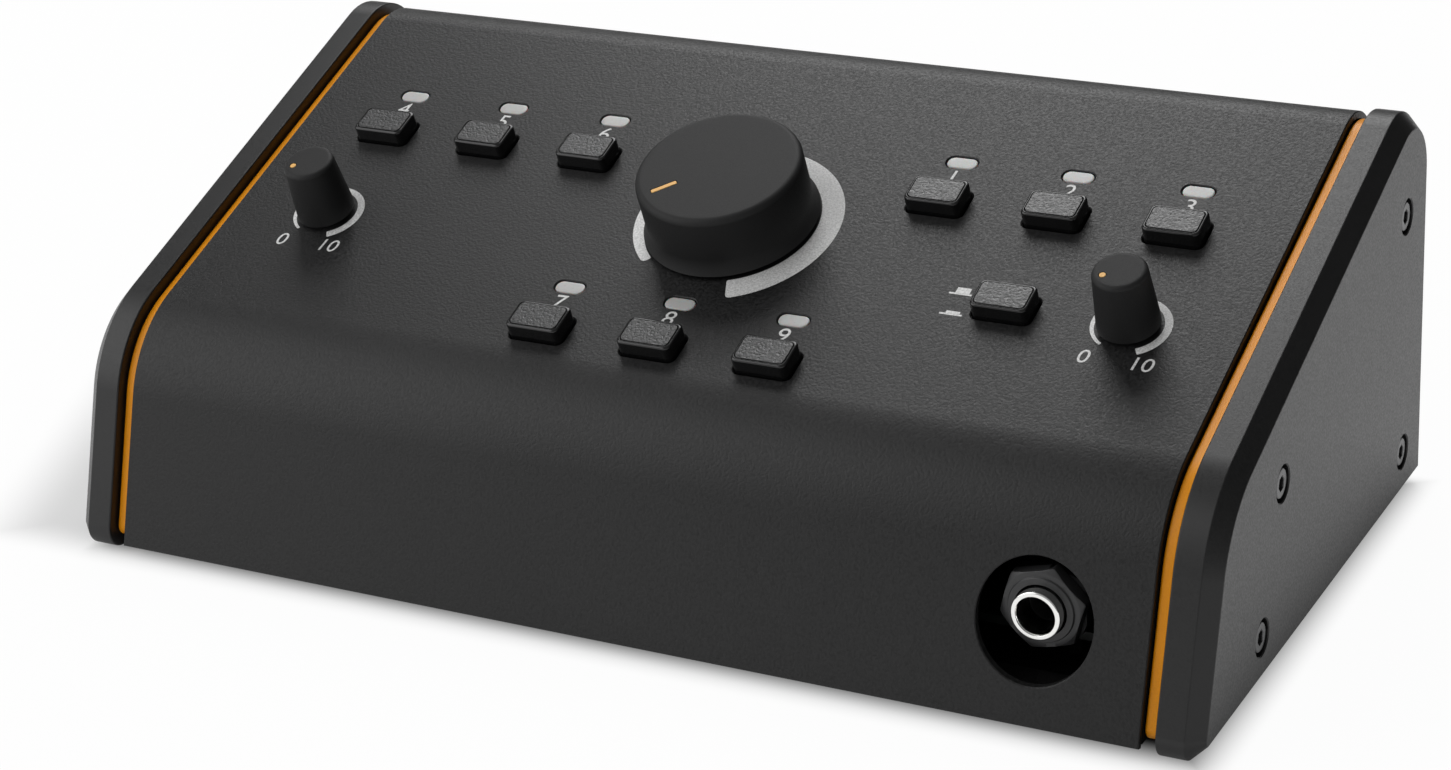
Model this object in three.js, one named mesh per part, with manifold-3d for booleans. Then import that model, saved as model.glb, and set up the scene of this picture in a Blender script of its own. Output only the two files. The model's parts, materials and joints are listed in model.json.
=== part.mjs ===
// Studio monitor controller: a desktop wedge of bent sheet metal between two thick side plates.
// Its sloped panel carries three knobs, ten push buttons and nine lamps, its front face a
// headphone socket, and its back the line sockets. Lengths are millimetres, X runs to the right,
// Y to the back and Z up, and the origin lies on the floor under the middle of the object.
import * as THREE from "three";
import { mergeVertices, toCreasedNormals } from "three/addons/utils/BufferGeometryUtils.js";
import Module from "manifold-3d";

const wasm = await Module();
wasm.setup();
const degrees = THREE.MathUtils.degToRad;

// Body profile, seen from the side
const bodyWidth = 208;
const bodyDepth = 121.8;
const frontHeight = 39.5; // up to the sharp corner that the front bend rounds off
const frontLean = degrees(17.5);
const panelSlope = degrees(20.2);
const frontBend = 24.3;
const backBend = 12.4;

// Sheet metal
const coverSheet = 1.5;
const coverFlange = 9;
const coverLip = 12;
const traySheet = 1.5;
const trayEnd = 2;
const trayLip = 7;
const rearSheet = 1.5;
const rearTopMargin = 1.5; // from the top of the rear panel up to the cover's rear bend

// Fits
const clearance = 0.3;
const inlayClearance = 0.1;
const slideClearance = 0.35;
const lampClearance = 0.2;
const overrun = 1;

// Side plates and the coloured accent plates under them
const sidePlate = 8;
const sideProud = 0.75;
const sideDrop = 2;
const sideToe = 4;
const sideChamfer = 2.9;
const accentPlate = 2.3;
const accentInset = 1.6;
const accentLift = 0.4;
const accentToe = 2;

// Side screws: setbacks from the body's front or back, heights, drops below the slope of the upper
// two, and the M3 socket-head screw itself
const lowerFrontSetback = 30;
const lowerFrontHeight = 8.1;
const lowerBackSetback = 12.8;
const lowerBackHeight = 8.4;
const upperFrontSetback = 40;
const upperFrontDrop = 17.03;
const upperBackSetback = 13.7;
const upperBackDrop = 18.49;
const screwRadius = 1.5;
const screwHeadRadius = 2.75;
const screwHeadHeight = 3;
const screwHeadChamfer = 0.3;
const screwSocket = 1.4;
const screwSocketDepth = 1.4;
const screwRecessRadius = 3.4;
const screwRecess = 3.6;
const bossRadius = 3.5;
const bossLength = 6;
const bossMargin = 1.5;

// Feet
const footHeight = 3;
const footRadius = 6;
const footTaper = 0.8;
const footFrontInset = 14;
const footSideInset = 14;

// Small fasteners of the cover
const coverScrewInset = 44; // from the cover's sides
const coverScrewSetback = 9;
const coverScrewHead = 1.7;
const coverScrewLength = 4.5;
const rearScrewInset = 29; // from the cover's sides
const rearScrewDrop = 5.5;
const rearScrewLength = 5;
const rearScrewTip = 0.8;

// Panel layout: U runs across, V up the slope from the sharp front corner, H out of the panel.
// The rows are shares of the slope's length, the columns lie between the main knob and the sides.
const rowShares = {
  upper: 0.55616,
  lower: 0.15191,
  main: 0.45145,
  side: 0.34159,
  header: 0.41197,
};
const sideColumnMargin = 20.5;
const mainKnobMargin = 21.2;
const lampRise = 11.5;

// Button caps
const capWidth = 11;
const capHeight = 7;
const capCorner = 1.2;
const capProud = 3.2;
const capBevel = 0.5;
const capFlange = 0.6;
const capFlangeThickness = 1.2;
const capStemRadius = 1.5;
const buttonTravel = 1.5;
const switchSize = 8;

// Lamps
const lampWidth = 6;
const lampHeight = 3;
const lampCorner = 1.2;
const lampSink = 0.2;
const railWidth = 3.6;
const railThickness = 2;
const railDepth = 3.2;
const legRadius = 1.3;

// Control board
const controlBoardDepth = 9.7;
const boardThickness = 1.6;
const controlBoardFront = 2;
const controlBoardBackMargin = 20.5;
const controlBoardSideMargin = 6;
const studRadius = 2.5;
const studSideMargin = 10;
const studFront = 14.5;
const studBackMargin = 26.5;

// Potentiometers and their D-shafts
const mainPotSize = 16;
const sidePotSize = 12;
const potHeight = 6.5;
const bushingRadius = 4;
const bushingProud = 1.8;
const shaftRadius = 3;
const shaftFlat = 1.5; // from the axis to the flat
const shaftProud = 10;

// Knobs
const knobLift = 0.8;
const knobHubGap = 0.8;
const mainKnobRadius = 15.9;
const mainKnobTop = 13.3;
const mainKnobFlare = 1;
const mainKnobFlareHeight = 3.4;
const mainKnobEdge = 1.3;
const mainKnobWall = 1.5;
const mainKnobRoof = 2.3;
const mainKnobHub = 5.5;
const pointerInner = 8.2;
const pointerOuter = 13.2;
const pointerWidth = 0.9;
const inlayDepth = 0.6;
const mainKnobTurn = degrees(-136.5);
const sideKnobRadius = 4.9;
const sideKnobFoot = 5.9;
const sideKnobTop = 12.9;
const sideKnobEdge = 0.9;
const dotRadius = 0.6;
const dotDistance = 3;
const sideKnobTurn = degrees(-145);

// Headphone socket, level behind a large hole that is cut level through the leaning front face
const phonesHoleHeight = 17.2;
const phonesHoleRadius = 10.65;
const phonesHeight = 17.9;
const ferruleRadius = 4.5;
const ferruleSetback = 0.25;
const ferruleMouth = 3.6;
const ferruleMouthDepth = 1.6;
const plugRadius = 3.3;
const nutSetback = 2.9;
const nutFlats = 14;
const nutTurn = degrees(-16);
const nutThickness = 2.5;
const nutCollar = 6;
const nutCollarStep = 0.4;
const phonesBodyWidth = 14;
const phonesBodyCorner = 3;
const phonesBodyDepth = 24;
const plugDepth = 20;
const socketEndWall = 1.5;

// Main board
const mainBoardTop = 11.6;
const mainBoardFront = 15;
const mainBoardRearGap = 2;
const mainBoardSideGap = 2;
const pillarRadius = 3;
const pillarInset = 12;

// Line sockets, at places counted to the right as seen from behind: the outputs from the tray's
// end inwards, the others as shares of its half width
const outputMargin = 16;
const outputPitch = 23;
const socketShares = { input: -0.01961, aux: -0.33333, power: -0.64706 };
const socketWidth = 16;
const socketDepth = 26;
const socketPitch = 13;
const socketRise = 6.5;
const socketCollar = 5.5;
const auxWidth = 9;
const auxDepth = 14;
const auxCollar = 3.6;
const auxBore = 1.85;
const powerWidth = 12;
const powerDepth = 14;
const powerCollar = 5;
const powerBore = 3.2;
const powerPin = 1.05;

// Ribbon cable and its two headers
const ribbonWidth = 22;
const ribbonThickness = 0.9;
const headerWidth = 25;
const headerDepth = 6;
const headerHeight = 5;
const headerSide = -45;
const lowerHeaderSetback = 49.8;

// Steps of the round forms
const bendSteps = 10;
const cornerSteps = 2;
const knobSteps = 40;
const sideKnobSteps = 28;
const roundSteps = 20;
const smallSteps = 14;
const hiddenSteps = 8;
const edgeSteps = 3;
const creaseAngle = degrees(32);
const weldDistance = 0.0005;

const finishes = {
  coat: { color: 0x3a3a3b, roughness: 0.55, metalness: 0.2 },
  plate: { color: 0x4a4a4c, roughness: 0.5, metalness: 0.2 },
  accent: { color: 0xd9841c, roughness: 0.4, metalness: 0.3 },
  tray: { color: 0x2f2f30, roughness: 0.6, metalness: 0.3 },
  steel: { color: 0x77787a, roughness: 0.4, metalness: 0.9 },
  chrome: { color: 0xd8d8d8, roughness: 0.15, metalness: 1 },
  darkMetal: { color: 0x39393a, roughness: 0.4, metalness: 0.8 },
  rubber: { color: 0x141414, roughness: 0.9, metalness: 0 },
  cap: { color: 0x262627, roughness: 0.35, metalness: 0 },
  knob: { color: 0x1c1c1d, roughness: 0.7, metalness: 0 },
  inlay: { color: 0xe8b070, roughness: 0.5, metalness: 0 },
  lens: { color: 0xc8c8c4, roughness: 0.3, metalness: 0 },
  board: { color: 0x1c201e, roughness: 0.5, metalness: 0 },
  plastic: { color: 0x18181a, roughness: 0.5, metalness: 0 },
  ribbon: { color: 0x9a9a98, roughness: 0.6, metalness: 0 },
};

// Places worked out from the sizes above
const halfWidth = bodyWidth / 2;
const frontSetback = frontHeight * Math.tan(frontLean);
const slopeLength = (bodyDepth - frontSetback) / Math.cos(panelSlope);
const sideColumn = halfWidth - sideColumnMargin;
const innerColumn = mainKnobRadius + mainKnobMargin;
const buttonPitch = (sideColumn - innerColumn) / 2;
const middleColumn = sideColumn - buttonPitch;
const upperButtonRow = slopeLength * rowShares.upper;
const lowerButtonRow = slopeLength * rowShares.lower;
const mainKnobRow = slopeLength * rowShares.main;
const sideKnobRow = slopeLength * rowShares.side;
const upperHeaderRow = slopeLength * rowShares.header;
const controlBoardSide = halfWidth - controlBoardSideMargin;
const controlBoardBack = slopeLength - controlBoardBackMargin;
const studSide = halfWidth - studSideMargin;
const studBack = slopeLength - studBackMargin;
const studMiddle = (lowerButtonRow + lampRise + railWidth / 2 + mainKnobRow - mainPotSize / 2) / 2;
const lowerFrontScrew = [lowerFrontSetback, lowerFrontHeight];
const lowerBackScrew = [bodyDepth - lowerBackSetback, lowerBackHeight];
const upperFrontScrew = [upperFrontSetback, slopeHeight(upperFrontSetback) - upperFrontDrop];
const upperBackScrew = [
  bodyDepth - upperBackSetback,
  slopeHeight(bodyDepth - upperBackSetback) - upperBackDrop,
];
const coverScrewSide = halfWidth - coverScrewInset;
const rearScrewSide = halfWidth - rearScrewInset;
const rearBendStart = bodyCorners(0, 0)[2].y - backBend * Math.tan((Math.PI / 2 + panelSlope) / 2);
const flangeEnd = rearBendStart - coverFlange;
const trayHalf = halfWidth - trayEnd; // inner faces of the tray's ends
const accentStart = halfWidth + clearance;
const sideStart = accentStart + accentPlate + clearance;
const sideFace = sideStart + sidePlate;
const screwSeat = sideFace - screwRecess + clearance;
const screwLength = screwSeat - trayHalf + bossLength - bossMargin;
const holeRadius = screwRadius + clearance;
const flangeDepth = coverSheet + clearance;
const capFlangeBottom = flangeDepth + capFlangeThickness;
const switchTop = capFlangeBottom + buttonTravel + clearance;
const stemEnd = controlBoardDepth - buttonTravel - clearance;
const potBase = controlBoardDepth - clearance;
const potBoreEnd = potBase - clearance;
const shaftEnd = potBoreEnd - clearance;
const boardUnderside = controlBoardDepth + boardThickness;
const knobHubBottom = bushingProud + knobHubGap;
const knobBoreTop = shaftProud + clearance;
const rearFace = coverSheet + clearance; // how far the rear panel lies inside the body's back
const rearInner = rearFace + rearSheet;
const socketFace = rearInner + clearance;
const socketFloor = mainBoardTop + clearance;
const mainBoardUnderside = mainBoardTop - boardThickness;
const phonesBodyFront = nutSetback + nutThickness + clearance;
const lowerHeaderPlace = bodyDepth - lowerHeaderSetback;

const panelFrame = new THREE.Matrix4()
  .makeTranslation(0, frontSetback, frontHeight)
  .multiply(new THREE.Matrix4().makeRotationX(panelSlope));
const across = new THREE.Matrix4().makeBasis(
  new THREE.Vector3(0, 1, 0),
  new THREE.Vector3(0, 0, 1),
  new THREE.Vector3(1, 0, 0),
);
const rearTurn = new THREE.Matrix4().makeBasis(
  new THREE.Vector3(-1, 0, 0),
  new THREE.Vector3(0, 0, 1),
  new THREE.Vector3(0, 1, 0),
);

// Height of the body's slope at a depth behind the front edge
function slopeHeight(depth) {
  return frontHeight + (depth - frontSetback) * Math.tan(panelSlope);
}

// Corners of the body's side outline, moved inwards: front bottom, back bottom, back top, front top
function bodyCorners(inset, bottom) {
  const lean = Math.tan(frontLean);
  const slope = Math.tan(panelSlope);
  const frontInset = inset / Math.cos(frontLean);
  const topInset = inset / Math.cos(panelSlope);
  const back = bodyDepth - inset;
  const topAt = (y) => frontHeight + (y - frontHeight * lean) * slope - topInset;
  const frontTop = topAt(frontInset) / (1 - lean * slope);
  return [
    new THREE.Vector2(bottom * lean + frontInset, bottom),
    new THREE.Vector2(back, bottom),
    new THREE.Vector2(back, topAt(back)),
    new THREE.Vector2(frontTop * lean + frontInset, frontTop),
  ];
}

// Counterclockwise outline of straight sides, with an arc at each corner that has a radius
function roundedOutline(corners, radii, arcSteps) {
  const points = [];
  corners.forEach((corner, place) => {
    const radius = radii[place];
    if (radius <= 0) {
      points.push(corner.clone());
      return;
    }
    const arriving = corner.clone().sub(corners.at(place - 1)).normalize();
    const leaving = corners[(place + 1) % corners.length].clone().sub(corner).normalize();
    const turn = Math.acos(arriving.dot(leaving));
    const inward = new THREE.Vector2(-arriving.y, arriving.x);
    const centre = corner.clone().addScaledVector(arriving, -radius * Math.tan(turn / 2));
    centre.addScaledVector(inward, radius);
    const start = Math.atan2(-inward.y, -inward.x);
    for (let step = 0; step <= arcSteps; step++) {
      const angle = start + (turn * step) / arcSteps;
      const spoke = new THREE.Vector2(Math.cos(angle), Math.sin(angle));
      points.push(centre.clone().addScaledVector(spoke, radius));
    }
  });
  return points;
}

function bodyOutline(inset, bottom, toe) {
  const radii = [toe, 0, backBend - inset, frontBend - inset];
  return roundedOutline(bodyCorners(inset, bottom), radii, bendSteps);
}

function rectangle(width, height, corner) {
  const x = width / 2;
  const y = height / 2;
  const corners = [
    new THREE.Vector2(-x, -y),
    new THREE.Vector2(x, -y),
    new THREE.Vector2(x, y),
    new THREE.Vector2(-x, y),
  ];
  return roundedOutline(corners, corners.map(() => corner), cornerSteps);
}

function widened(width, height, corner, gap) {
  return rectangle(width + 2 * gap, height + 2 * gap, corner + gap);
}

// Circle with one flat, square to X
function dOutline(radius, flat) {
  const start = Math.acos(flat / radius);
  const points = [];
  for (let step = 0; step <= smallSteps; step++) {
    const angle = start + ((2 * Math.PI - 2 * start) * step) / smallSteps;
    points.push(new THREE.Vector2(radius * Math.cos(angle), radius * Math.sin(angle)));
  }
  return points;
}

// Solids: geometries become closed bodies that can be joined and cut
function solidOf(form) {
  if (!form.isBufferGeometry) return form;
  const loose = form.index ? form.toNonIndexed() : form;
  const bare = new THREE.BufferGeometry().setAttribute("position", loose.getAttribute("position"));
  const welded = mergeVertices(bare, weldDistance);
  const vertProperties = welded.getAttribute("position").array;
  const triVerts = new Uint32Array(welded.index.array);
  return new wasm.Manifold(new wasm.Mesh({ numProp: 3, vertProperties, triVerts }));
}

function join(...forms) {
  return forms.map(solidOf).reduce((sum, next) => sum.add(next));
}

function cut(form, ...cutters) {
  return cutters.map(solidOf).reduce((rest, cutter) => rest.subtract(cutter), solidOf(form));
}

function geometryOf(form) {
  if (form.isBufferGeometry) return form;
  const { vertProperties, triVerts } = form.getMesh();
  const geometry = new THREE.BufferGeometry()
    .setAttribute("position", new THREE.BufferAttribute(vertProperties, 3))
    .setIndex(new THREE.BufferAttribute(triVerts, 1));
  return toCreasedNormals(geometry, creaseAngle);
}

function block(left, right, front, back, bottom, top) {
  return new THREE.BoxGeometry(right - left, back - front, top - bottom).translate(
    (left + right) / 2,
    (front + back) / 2,
    (bottom + top) / 2,
  );
}

function drum(radius, bottom, top, steps) {
  return new THREE.CylinderGeometry(radius, radius, top - bottom, steps)
    .rotateX(Math.PI / 2)
    .translate(0, 0, (bottom + top) / 2);
}

function cone(lowRadius, highRadius, bottom, top, steps) {
  return new THREE.CylinderGeometry(highRadius, lowRadius, top - bottom, steps)
    .rotateX(Math.PI / 2)
    .translate(0, 0, (bottom + top) / 2);
}

// Solid of revolution about Z from pairs of radius and height, going up its outside
function turned(profile, steps) {
  const points = profile.map(([radius, height]) => new THREE.Vector2(radius, height));
  return new THREE.LatheGeometry(points, steps).rotateX(Math.PI / 2);
}

function slab(outline, bottom, top) {
  const options = { depth: top - bottom, bevelEnabled: false };
  return new THREE.ExtrudeGeometry(new THREE.Shape(outline), options).translate(0, 0, bottom);
}

// Slab whose top edge is cut back, straight with one step and round with more
function bevelledSlab(outline, bottom, top, bevel, steps) {
  const whole = new THREE.ExtrudeGeometry(new THREE.Shape(outline), {
    depth: top - bottom - bevel,
    bevelThickness: bevel,
    bevelSize: bevel,
    bevelOffset: -bevel,
    bevelSegments: steps,
  }).translate(0, 0, bottom);
  const reach = new THREE.Box2().setFromPoints(outline).expandByScalar(overrun);
  const { min, max } = reach;
  const below = block(min.x, max.x, min.y, max.y, bottom - bevel - overrun, bottom);
  return cut(whole, below);
}

function acrossBody(outline, left, right) {
  return slab(outline, left, right).applyMatrix4(across);
}

function onPanel(form, u, v) {
  return form.translate(u, v, 0).applyMatrix4(panelFrame);
}

// Groups: the body's front bottom edge is their origin, and the panel's group lies in its slope
const body = new THREE.Group();
const panel = new THREE.Group();
panel.position.set(0, frontSetback, frontHeight);
panel.rotation.x = panelSlope;
const rear = new THREE.Group();
rear.position.set(0, bodyDepth, 0);
rear.quaternion.setFromRotationMatrix(rearTurn);
const phones = new THREE.Group();
phones.position.set(sideColumn, phonesHeight * Math.tan(frontLean) + ferruleSetback, phonesHeight);
phones.rotation.x = Math.PI / 2;
body.add(panel, rear, phones);

function addPiece(group, name, form, finish, place = [0, 0, 0]) {
  const mesh = new THREE.Mesh(geometryOf(form), new THREE.MeshStandardMaterial(finishes[finish]));
  mesh.name = name;
  mesh.position.set(...place);
  group.add(mesh);
  return mesh;
}

// Buttons as name, place across and place up the slope, the three in each upper bank first
const buttons = [
  ["stereo_button", -sideColumn, upperButtonRow],
  ["aux_button", -middleColumn, upperButtonRow],
  ["pair_button", -innerColumn, upperButtonRow],
  ["speaker_1_button", innerColumn, upperButtonRow],
  ["speaker_2_button", middleColumn, upperButtonRow],
  ["speaker_3_button", sideColumn, upperButtonRow],
  ["mono_button", -buttonPitch, lowerButtonRow],
  ["dim_button", 0, lowerButtonRow],
  ["mute_button", buttonPitch, lowerButtonRow],
  ["listen_button", middleColumn, sideKnobRow],
];

// Lamp strips as name, their three places across and their place up the slope
const lampStrips = [
  ["left_light_pipe", [-sideColumn, -middleColumn, -innerColumn], upperButtonRow + lampRise],
  ["right_light_pipe", [innerColumn, middleColumn, sideColumn], upperButtonRow + lampRise],
  ["centre_light_pipe", [-buttonPitch, 0, buttonPitch], lowerButtonRow + lampRise],
];

// Rotary controls as name, place across, place up the slope and size of the potentiometer
const rotaries = [
  ["aux_level", -sideColumn, sideKnobRow, sidePotSize],
  ["main_level", 0, mainKnobRow, mainPotSize],
  ["phones_level", sideColumn, sideKnobRow, sidePotSize],
];

// Studs that carry the control board, as place across and place up the slope
const studs = [
  [-studSide, studFront],
  [studSide, studFront],
  [0, studMiddle],
  [-studSide, studBack],
  [0, studBack],
  [studSide, studBack],
];

// Cover: one sheet bent over the front, the slope and the top of the back
function addCover() {
  const wide = halfWidth + overrun;
  const through = coverSheet + overrun;
  const buttonHole = widened(capWidth, capHeight, capCorner, slideClearance);
  const lampHole = widened(lampWidth, lampHeight, lampCorner, lampClearance);
  const bushingHole = () => drum(bushingRadius + clearance, -through, overrun, roundSteps);
  const holes = [
    ...buttons.map(([, u, v]) => onPanel(slab(buttonHole, -through, overrun), u, v)),
    ...lampStrips.flatMap(([, places, v]) =>
      places.map((u) => onPanel(slab(lampHole, -through, overrun), u, v)),
    ),
    ...rotaries.map(([, u, v]) => onPanel(bushingHole(), u, v)),
    drum(phonesHoleRadius, -frontSetback, overrun, knobSteps)
      .rotateX(Math.PI / 2)
      .translate(sideColumn, 0, phonesHoleHeight),
    ...[-1, 1].map((side) =>
      cone(screwRadius + clearance, screwHeadRadius + clearance, -coverSheet, 0, smallSteps)
        .applyMatrix4(rearTurn)
        .translate(side * rearScrewSide, bodyDepth, rearBendStart - rearScrewDrop),
    ),
  ];
  const shell = cut(
    acrossBody(bodyOutline(0, 0, 0), -halfWidth, halfWidth),
    acrossBody(bodyOutline(coverSheet, -overrun, 0), -wide, wide),
    block(-wide, wide, bodyDepth - coverSheet - overrun, bodyDepth + overrun, -overrun, flangeEnd),
    ...holes,
  );
  const lipBottom = traySheet + clearance;
  const lipTop = lipBottom + coverSheet;
  const lipStart = lipTop * Math.tan(frontLean) + coverSheet / 2;
  const lipHalf = trayHalf - clearance;
  const lip = cut(
    block(-lipHalf, lipHalf, lipStart, lipStart + coverLip, lipBottom, lipTop),
    ...[-1, 1].map((side) =>
      drum(holeRadius, lipBottom - overrun, lipTop + overrun, smallSteps).translate(
        side * coverScrewSide,
        coverScrewSetback,
        0,
      ),
    ),
  );
  const pillars = studs.map(([u, v]) =>
    onPanel(drum(studRadius, clearance - controlBoardDepth, -coverSheet / 2, hiddenSteps), u, v),
  );
  addPiece(body, "top_cover", join(shell, lip, ...pillars), "coat");
}

// Tray: floor, two ends with threaded bosses for the side screws, a rear lip and board pillars
function addTray() {
  const inset = coverSheet + clearance;
  const back = bodyDepth - inset;
  const screws = [lowerFrontScrew, lowerBackScrew, upperFrontScrew, upperBackScrew];
  const bosses = [-1, 1].flatMap((side) =>
    screws.map(([y, z]) =>
      drum(bossRadius, trayHalf - bossLength, trayHalf + trayEnd / 2, hiddenSteps)
        .rotateY((side * Math.PI) / 2)
        .translate(0, y, z),
    ),
  );
  const bores = [-1, 1].flatMap((side) =>
    screws.map(([y, z]) =>
      drum(holeRadius, trayHalf - bossLength - overrun, halfWidth + overrun, hiddenSteps)
        .rotateY((side * Math.PI) / 2)
        .translate(0, y, z),
    ),
  );
  const shell = cut(
    acrossBody(bodyOutline(inset, 0, 0), -halfWidth, halfWidth),
    block(-trayHalf, trayHalf, -overrun, bodyDepth, traySheet, bodyDepth),
  );
  const floorEdge = block(-halfWidth, halfWidth, back - overrun, bodyDepth, 0, traySheet);
  const lip = block(-halfWidth, halfWidth, bodyDepth - traySheet, bodyDepth, 0, trayLip);
  const pillarTop = mainBoardUnderside - clearance;
  const pillars = pillarPlaces().map(([x, y]) =>
    drum(pillarRadius, traySheet / 2, pillarTop, hiddenSteps).translate(x, y, 0),
  );
  const screwHoles = [-1, 1].map((side) =>
    drum(holeRadius, -overrun, traySheet + overrun, smallSteps).translate(
      side * coverScrewSide,
      coverScrewSetback,
      0,
    ),
  );
  const whole = join(shell, floorEdge, lip, ...bosses, ...pillars);
  addPiece(body, "base_tray", cut(whole, ...bores, ...screwHoles), "tray");
}

function mainBoardReach() {
  return {
    side: trayHalf - bossLength - mainBoardSideGap,
    back: bodyDepth - rearInner - mainBoardRearGap,
  };
}

function pillarPlaces() {
  const { side, back } = mainBoardReach();
  const rows = [mainBoardFront + pillarInset, back - pillarInset];
  return rows.flatMap((y) => [-side + pillarInset, 0, side - pillarInset].map((x) => [x, y]));
}

function addFeet() {
  const foot = cone(footRadius - footTaper, footRadius, -footHeight, -clearance, roundSteps);
  for (const [depthName, y] of [["front", footFrontInset], ["rear", bodyDepth - footFrontInset]]) {
    for (const [sideName, side] of [["left", -1], ["right", 1]]) {
      const x = side * (halfWidth - footSideInset);
      addPiece(body, `${depthName}_${sideName}_foot`, foot, "rubber", [x, y, 0]);
    }
  }
}

// Screw about Z: its shank ends below the seat at zero and its head stands on it
function capScrew(length, headHeight, chamfer) {
  const profile = [
    [0, -length],
    [screwRadius, -length],
    [screwRadius, 0],
    [screwHeadRadius, 0],
    [screwHeadRadius, headHeight - chamfer],
    [screwHeadRadius - chamfer, headHeight],
    [0, headHeight],
  ];
  const hexagon = drum(screwSocket, headHeight - screwSocketDepth, headHeight + overrun, 6);
  return cut(turned(profile, smallSteps), hexagon);
}

// Side plate, accent plate and four screws of one side; the other side is its mirror image
function addSide(sideName, mirror) {
  const side = new THREE.Group();
  side.scale.x = mirror;
  body.add(side);
  const screws = [
    ["lower_front", lowerFrontScrew],
    ["lower_back", lowerBackScrew],
    ["upper_front", upperFrontScrew],
    ["upper_back", upperBackScrew],
  ];
  const bores = (radius, start, end, steps) =>
    screws.map(([, [y, z]]) => drum(radius, start, end, steps).rotateY(Math.PI / 2).translate(0, y, z));
  const plateOutline = bodyOutline(-sideProud, -sideDrop, sideToe);
  const plate = cut(
    solidOf(bevelledSlab(plateOutline, sideStart, sideFace, sideChamfer, 1)).transform(across.elements),
    ...bores(screwRecessRadius, sideFace - screwRecess, sideFace + overrun, roundSteps),
    ...bores(holeRadius, sideStart - overrun, sideFace, hiddenSteps),
  );
  addPiece(side, `${sideName}_side_plate`, plate, "plate");
  const accentEnd = accentStart + accentPlate;
  const accent = cut(
    acrossBody(bodyOutline(accentInset, accentLift, accentToe), accentStart, accentEnd),
    ...bores(holeRadius, accentStart - overrun, accentEnd + overrun, hiddenSteps),
  );
  addPiece(side, `${sideName}_accent_plate`, accent, "accent");
  const screw = capScrew(screwLength, screwHeadHeight, screwHeadChamfer);
  for (const [place, [y, z]] of screws) {
    const mesh = addPiece(side, `${sideName}_${place}_screw`, screw, "steel", [screwSeat, y, z]);
    mesh.rotation.y = Math.PI / 2;
  }
}

function addCoverScrews() {
  const bottomScrew = capScrew(coverScrewLength, coverScrewHead, screwHeadChamfer);
  const flush = cut(
    turned(
      [
        [0, -rearScrewLength],
        [screwRadius, -rearScrewLength],
        [screwRadius, -coverSheet + rearScrewTip / 2],
        [screwHeadRadius, 0],
        [0, 0],
      ],
      smallSteps,
    ),
    drum(screwSocket, -rearScrewTip, overrun, 6),
  );
  for (const [sideName, side] of [["left", -1], ["right", 1]]) {
    const below = [side * coverScrewSide, coverScrewSetback, -clearance];
    const mesh = addPiece(body, `${sideName}_cover_screw`, bottomScrew, "steel", below);
    mesh.rotation.x = Math.PI;
    const behind = [-side * rearScrewSide, rearBendStart - rearScrewDrop, 0];
    addPiece(rear, `${sideName}_rear_screw`, flush, "steel", behind);
  }
}

// Button cap: a finger pad in the cover's hole, a flange that holds it in and a stem to its switch
function addButtons() {
  const flange = widened(capWidth, capHeight, capCorner, slideClearance + capFlange);
  const outline = rectangle(capWidth, capHeight, capCorner);
  const cap = join(
    bevelledSlab(outline, -flangeDepth - capFlangeThickness / 2, capProud, capBevel, 2),
    slab(flange, -capFlangeBottom, -flangeDepth),
    drum(capStemRadius, -stemEnd, -capFlangeBottom + capFlangeThickness / 2, hiddenSteps),
  );
  for (const [name, u, v] of buttons) addPiece(panel, name, cap, "cap", [u, v, 0]);
}

// Light pipe: three lenses on one rail, with a leg behind each lens down to its lamp on the board
function addLightPipes() {
  for (const [name, places, v] of lampStrips) {
    const lens = rectangle(lampWidth, lampHeight, lampCorner);
    const railTop = -railDepth;
    const railBottom = railTop - railThickness;
    const first = places[0] - lampWidth / 2;
    const last = places[2] + lampWidth / 2;
    const rail = block(first, last, v - railWidth / 2, v + railWidth / 2, railBottom, railTop);
    const middle = (railTop + railBottom) / 2;
    const heads = places.map((u) => slab(lens, middle, -lampSink).translate(u, v, 0));
    const legEnd = clearance - controlBoardDepth;
    const legs = places.map((u) => drum(legRadius, legEnd, middle, hiddenSteps).translate(u, v, 0));
    addPiece(panel, name, join(rail, ...heads, ...legs), "lens");
  }
}

// Control board: parallel to the panel, with a switch body under each cap and a cable header below
function addControlBoard() {
  const half = switchSize / 2;
  const plate = block(
    -controlBoardSide,
    controlBoardSide,
    controlBoardFront,
    controlBoardBack,
    -boardUnderside,
    -controlBoardDepth,
  );
  const overlap = boardThickness / 2;
  const bore = () => drum(capStemRadius + clearance, -controlBoardDepth, overrun - switchTop, hiddenSteps);
  const switches = buttons.map(([, u, v]) =>
    cut(
      block(u - half, u + half, v - half, v + half, -controlBoardDepth - overlap, -switchTop),
      bore().translate(u, v, 0),
    ),
  );
  const header = block(
    headerSide - headerWidth / 2,
    headerSide + headerWidth / 2,
    upperHeaderRow - headerDepth / 2,
    upperHeaderRow + headerDepth / 2,
    -boardUnderside - headerHeight,
    -boardUnderside + overlap,
  );
  addPiece(panel, "control_board", join(plate, header, ...switches), "board");
}

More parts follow.
